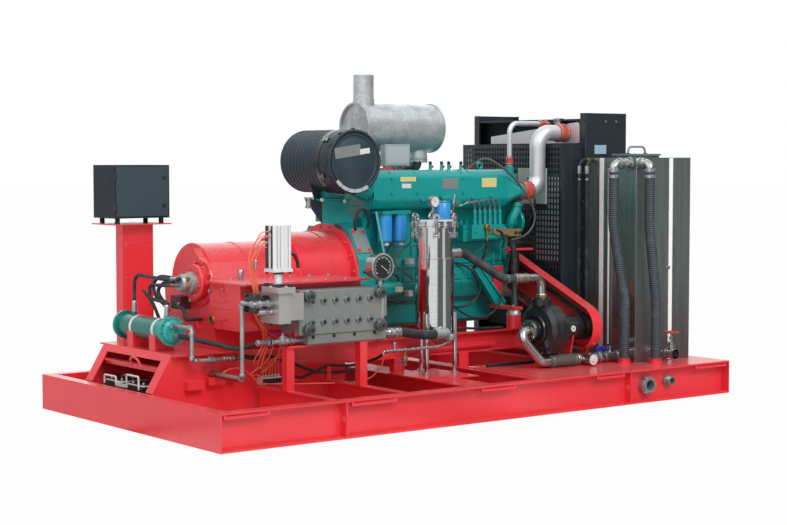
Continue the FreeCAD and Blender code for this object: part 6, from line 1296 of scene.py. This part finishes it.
piece("tee_unions", bright_steel,
      *[band((x, *SUCTION), "X", radius, width, sides)
       for x, radius, width, sides in ((1.15, 0.043, 0.034, 28), (1.262, 0.043, 0.034, 28),
              (1.325, 0.04, 0.02, 28), (1.37, 0.045, 0.034, 8), (1.43, 0.042, 0.016, 28),
              (1.552, 0.044, 0.03, 8), (1.586, 0.04, 0.02, 28))])
piece("tee_cap_ring", white_plastic,
      turned("Y", (1.2, -0.854, 0.298), [(0, 0.04), (-0.004, 0.038)], 28),
      turned("Y", (1.2, -0.858, 0.298), [(0, 0.022), (-0.006, 0.02)], 28))
piece("valve_grip", FINISHES["lever_paint"],
      block((1.338, -0.742, 0.342), (1.44, -0.724, 0.378)), body="lever", edge=0.006)
piece("belt_ribs", FINISHES["pulley_iron"],
      *[ring("X", (x, y, z), [(0, 0.03), (0, 0.06), (-0.004, 0.064), (-0.004, 0.03)], 40)
       for x, y, z in ((1.244, *BOOSTER), (1.244, *DRUM))])
piece("guard_edge_strip", black,
      slab("X", 1.2235, 1.2262, [(-0.706, 0.659), (0.214, 1.059), (0.221, 1.043), (-0.699, 0.643)]))
piece("guard_post_bar", red, block((1.09, 0.14, 1.05), (1.318, 0.166, 1.08)), edge=0.002)

# Water tank: strips painted white as their highlight, bands, sight tube, lid strap, fittings

TANK_SIDE = 1.600
ELBOW_Z = 1.765
LINE_Y = (-0.370, -0.455)
tank_low, tank_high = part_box("tank_shell")
# The strips are painted near-white as the highlight that polished ribs show
piece("tank_strips", polished_strip_painted_highlight,
      block((tank_low[0] - 0.006, -0.541, 0.256), (tank_low[0], -0.497, tank_high[2])),
      block((1.952, tank_low[1] - 0.006, 0.256), (1.992, tank_low[1], tank_high[2])), edge=0.002)
piece("tank_corner", bright_steel,
      block((tank_low[0] - 0.0016, tank_low[1] - 0.0016, 0.252),
          (tank_low[0] + 0.01, tank_low[1] + 0.008, tank_high[2])), edge=0.001)
piece("sight_tube", white_plastic,
      carried([(*SIGHT_TUBE, 0.37), (*SIGHT_TUBE, 1.0), (*SIGHT_TUBE, 1.72)], 0.008, 12))
piece("sight_tube_ends", bright_steel,
      *[block((1.576, -0.62, z), (TANK_SIDE, -0.6, z + 0.024)) for z in (0.352, 1.705)],
      stepped("X", (TANK_SIDE, -0.628, 0.34), 14, (-0.022, 0.012), (-0.04, 0.007)),
      disc("Z", (*SIGHT_TUBE, 0.352), -0.04, 0.009, 10), edge=0.002)
piece("tank_drain_plugs", bright_steel,
      turned("X", (TANK_SIDE, -0.85, 0.345),
          [(0, 0.028), (-0.012, 0.028), (-0.014, 0.018), (-0.036, 0.018)], 20),
      turned("X", (TANK_SIDE, -0.846, 0.42),
          [(0, 0.024), (-0.012, 0.024), (-0.014, 0.014), (-0.03, 0.014)], 20),
      stepped("Y", (1.952, -0.89, 0.965), 12, (-0.014, 0.01)))
piece("lid_grip_feet", slate,
      *[disc("Z", (x, -0.6175, 1.84), 0.005, 0.018, 20) for x in (1.78, 1.97)])
HOSES = (((1.424, -0.826), (1.508, -0.868)), ((1.640, -0.991), (1.690, -1.020)))
piece("elbow_clamps", bright_steel,
      *[band((x, y, z), "Z", radius, width, 28) for (x, y), _ in HOSES
       for z, radius, width in ((1.712, 0.045, 0.026), (1.668, 0.0425, 0.024))],
      *[block((x + 0.038, y - 0.01, 1.658), (x + 0.064, y + 0.008, 1.678)) for (x, y), _ in HOSES],
      band((1.48, -0.826, ELBOW_Z), "X", 0.044, 0.026, 28),
      band((1.53, -0.826, ELBOW_Z), "X", 0.042, 0.022, 8),
      band((1.59, -0.826, ELBOW_Z), "X", 0.05, 0.01, 28),
      band((1.64, -0.932, ELBOW_Z), "Y", 0.042, 0.024, 28),
      band((1.64, -0.898, ELBOW_Z), "Y", 0.047, 0.014, 28))
piece("socket_rings", FINISHES["wheel_paint"],
      *[ring("Z", (x, y, 0.276), [(0, 0.0395), (0, 0.048), (0.016, 0.046), (0.018, 0.0395)], 36)
       for _, (x, y) in HOSES])
piece("tank_line_fittings", brass,
      *[stepped("X", (TANK_SIDE, y, 1.79), 6, (-0.022, 0.017)) for y in LINE_Y])
piece("tank_line_ferrules", bright_steel,
      *[band((1.5, y, 1.715), "Z", 0.0175, 0.06, 16) for y in LINE_Y],
      *[band((1.5, y, 1.64), "Z", 0.0145, 0.012, 16) for y in LINE_Y])
piece("gate_bonnet_nuts", bright_steel,
      stepped("Z", (*GATE, 0.362), 6, (0.022, 0.0325)),
      stepped("Z", (*GATE, 0.42), 6, (0.022, 0.016)),
      washer("Y", (GATE[0], -0.962, 0.312), 0.018, 0.03, 0.042, 6),
      ring("Y", (GATE[0], -1.032, 0.312), [(0, 0.03), (0, 0.042), (-0.016, 0.042), (-0.016, 0.022)],
          6))
piece("wheel_nut", bright_steel, hexes("Z", [(*GATE, 0.482)], 0.011, 0.008), body="handwheel")
piece("lever_nut", bright_steel, hexes("Z", [(1.49, -0.733, 0.366)], 0.01, 0.006))

# Bag filter: eye nuts on swing bolts, clamp lugs, dial on its stem, hoops

FILTER = (-0.020, -0.470)
BOLT_X = FILTER[0] + 0.160
DIAL = (FILTER[0] - 0.012, FILTER[1], 1.494)


def round_filter(surface):
    """Six copies of a surface, one at each swing bolt."""
    return swung(surface, "Z", (*FILTER, 0), range(56, 416, 60))


piece("swing_bolts", bright_steel,
      round_filter(carried([(BOLT_X, FILTER[1], z) for z in (1.25, 1.3, 1.366)], 0.0085, 12)),
      round_filter(washer("X", (BOLT_X - 0.006, FILTER[1], 1.384), 0.012, 0.013, 0.027, 24)),
      round_filter(disc("Z", (BOLT_X, FILTER[1], 1.345), 0.012, 0.018, 16)),
      round_filter(disc("Y", (BOLT_X, FILTER[1] - 0.024, 1.256), 0.048, 0.01, 12)))
piece("swing_bolt_lugs", bright_steel,
      *[round_filter(block((BOLT_X + x0, FILTER[1] + side - half, low),
                           (BOLT_X + x1, FILTER[1] + side + half, high)))
        for x0, x1, low, high, half, sides in (
            (-0.032, 0.016, 1.236, 1.278, 0.005, (-0.018, 0.018)),
            (-0.010, 0.020, 1.312, 1.345, 0.008, (-0.019, 0.019)))
        for side in sides], edge=0.002)
piece("filter_hoops", filter_shell,
      ring("Z", (*FILTER, 1.083), [(0, 0.1395), (0.002, 0.1425), (0.008, 0.1425), (0.01, 0.1395)],
           64),
      ring("Z", (*FILTER, 1.318), [(0, 0.1535), (0.003, 0.157), (0.01, 0.157), (0.013, 0.1535)], 64))
piece("filter_dial_stem", bright_steel,
      carried([(*DIAL[:2], z) for z in (1.366, 1.4, 1.462)], 0.01, 14),
      cord([(*DIAL[:2], 1.405), (FILTER[0] - 0.05, FILTER[1] - 0.02, 1.412),
            (FILTER[0] - 0.075, FILTER[1] - 0.03, 1.385)], 0.01, 12, 6),
      disc("Z", (*DIAL[:2], 1.41), 0.022, 0.017, 8),
      stepped("Y", (DIAL[0], DIAL[1] - 0.022, DIAL[2]), 36, (0.034, 0.041)))
piece("filter_dial_face", white_plastic,
      disc("Y", (DIAL[0], DIAL[1] - 0.0215, DIAL[2]), -0.003, 0.036, 36))
piece("filter_dial_marks", dark_steel,
      marks(DIAL, (-0.001, -0.0255, 0.026), (0.001, -0.0244, 0.033), range(-135, 136, 27)),
      marks(DIAL, (-0.0015, -0.0258, -0.008), (0.0015, -0.0246, 0.024), (-40,)))
piece("filter_feet", bright_steel,
      *[disc("Z", place, 0.008, 0.032, 28)
        for place in circle_of("Z", (*FILTER, 0.258), 0.150, 3, 90)])

# Batteries: carry frames, terminals and their leads

HANDLE_X = -2.128
piece("battery_frames", white_plastic,
      *[block((-2.118, y0, 0.262), (-1.912, y0 + 0.012, 0.272))
       for y0 in (0.046, 0.267, 0.351, 0.572)],
      *[block((-2.121, y0, 0.262), (-2.113, y0 + 0.221, 0.272)) for y0 in (0.052, 0.357)],
      edge=0.002)
piece("battery_handles", white_plastic,
      *[carried(bent(
          [(HANDLE_X, y0, 0.24), (HANDLE_X, y0, top), (HANDLE_X, y1, top), (HANDLE_X, y1, 0.24)],
          0.012, 4), 0.007, 10) for y0, y1, top in ((0.415, 0.58, 0.3), (0.095, 0.262, 0.33))],
      block((-2.131, 0.262, 0.236), (-2.125, 0.415, 0.262)), edge=0.002)
piece("battery_posts", bright_steel,
      *[turned("Z", (-2.09, y, 0.274), [(0, 0.011), (0.016, 0.01)], 16)
       for y in (0.09, 0.235, 0.395, 0.54)])
piece("battery_leads", hose,
      cord([(-2.09, 0.235, 0.29), (-2.085, 0.255, 0.312), (-2.05, 0.315, 0.318),
          (-2.085, 0.375, 0.312), (-2.09, 0.395, 0.29)], 0.008, 10, 7))

# Stage, light and camera

# Where the yard round the skid is open: from and to in degrees about the skid, how soft its edges
# are, how bright it is; the rest of the yard is dark

YARD_OPEN = ((-173, -110, 6, 0.9), (-77, -60, 4, 0.7), (12, 100, 8, 0.9), (100, 186, 6, 0.5))
YARD_DARK = 0.1


def ray(nodes, kind):
    """1 for rays of one kind: Camera, Glossy or Transmission."""
    return nodes.node("ShaderNodeLightPath", {}, {}, "Is %s Ray" % kind)


def seen_rays(nodes):
    """1 for what is seen straight, in a reflection or through glass, 0 for light that falls."""
    unseen = (1.0 - ray(nodes, "Camera")) * (1.0 - ray(nodes, "Glossy"))
    return 1.0 - unseen * (1.0 - ray(nodes, "Transmission"))


def yard(nodes, x, y):
    """How bright the surroundings are toward x, y: open behind the camera and behind the skid."""
    turn = nodes.node("ShaderNodeMath", {"operation": "ARCTAN2"}, {0: y, 1: x}) * (180 / math.pi)

    def between(low, high, soft):
        up, down = (nodes.node("ShaderNodeMapRange", {"interpolation_type": "SMOOTHSTEP"},
                               {"Value": turn, "From Min": end - soft, "From Max": end + soft})
                    for end in (low, high))
        return up - down

    bright = YARD_DARK
    for low, high, soft, share in YARD_OPEN:
        bright = between(low, high, soft) * share + bright
    return bright


DAYLIGHT = 0.56
HORIZON = (0.25, 0.70)


def sky():
    """White to the eye, even daylight on the surfaces, in reflections a yard open on some sides."""
    world = bpy.data.worlds.new("studio")
    world.use_nodes = True
    bpy.context.scene.world = world
    nodes = Nodes(world.node_tree)
    way = nodes.node("ShaderNodeTexCoord", {}, {}, "Generated")
    x, y, z = (nodes.node("ShaderNodeSeparateXYZ", {}, {0: way}, out) for out in range(3))
    above = nodes.node("ShaderNodeMapRange", {"interpolation_type": "SMOOTHSTEP"},
                       {"Value": z, "From Min": HORIZON[0], "From Max": HORIZON[1]})
    backdrop = world.node_tree.nodes["Background"]
    backdrop.inputs["Color"].default_value = (1.0, 1.0, 1.0, 1.0)
    nodes.put(backdrop.inputs["Strength"],
              ray(nodes, "Glossy") * (yard(nodes, x, y) * (1.0 - above) + above)
              + ray(nodes, "Camera") + ray(nodes, "Transmission")
              + (1.0 - seen_rays(nodes)) * DAYLIGHT)


FLOOR_REACH = 90.0
FLOOR_GLOW = 0.92


def floor():
    """A wide pale floor that keeps the shadow under the skid."""
    across = np.linspace(-FLOOR_REACH, FLOOR_REACH, 3)
    x, y = np.meshgrid(across, across, indexing="ij")
    points, faces = grid(np.stack([x, y, np.zeros_like(x)], axis=-1))
    mesh = bpy.data.meshes.new("studio_floor")
    mesh.from_pydata(points.tolist(), [], [face[::-1] for face in faces])
    made = bpy.data.objects.new("studio_floor", mesh)
    bpy.context.scene.collection.objects.link(made)
    ground = Finish("pale_floor", "red_paint", Roughness=0.9)
    ground.colour(ground.mix(ground.noise(0.8), tint("#E9E9E9"), tint("#F1F1F1")))
    around = yard(ground, ground.part("X"), ground.part("Y"))
    lit = ground.node("ShaderNodeEmission", {}, {
        "Color": (1, 1, 1, 1), "Strength": ray(ground, "Glossy") * (around - 1.0) + 1.0})
    shader = Field(ground, ground.shader.outputs[0])
    both = ground.node("ShaderNodeMixShader", {},
                       {0: seen_rays(ground) * FLOOR_GLOW, 1: shader, 2: lit})
    ground.tree.links.new(both.socket, ground.tree.nodes["Material Output"].inputs["Surface"])
    mesh.materials.append(ground.material)


def lamp(name, strength, turn, softness):
    """A wide soft lamp, far off: how strong, turned how in degrees, how soft in degrees."""
    light = bpy.data.lights.new(name, "SUN")
    light.energy, light.angle = strength, math.radians(softness)
    made = bpy.data.objects.new(name, light)
    made.rotation_euler = Euler([math.radians(part) for part in turn])
    bpy.context.scene.collection.objects.link(made)


sky()
floor()
lamp("key", 1.6, (50, 0, -8), 30)
lamp("fill", 0.45, (55, 0, -85), 45)
lamp("back", 0.35, (60, 0, 150), 45)

EYE = (-7.8108, -10.1912, 1.8117)
TIP_DOWN, TURN = 0.0607, -0.6519
camera = bpy.data.cameras.new("camera")
camera.lens, camera.sensor_width = 79.136, 36.0
eye = bpy.data.objects.new("camera", camera)
eye.location = EYE
eye.rotation_euler = Euler((math.pi / 2 - TIP_DOWN, 0, TURN))
bpy.context.scene.collection.objects.link(eye)
bpy.context.scene.camera = eye
bpy.context.scene.view_settings.view_transform = "Standard"
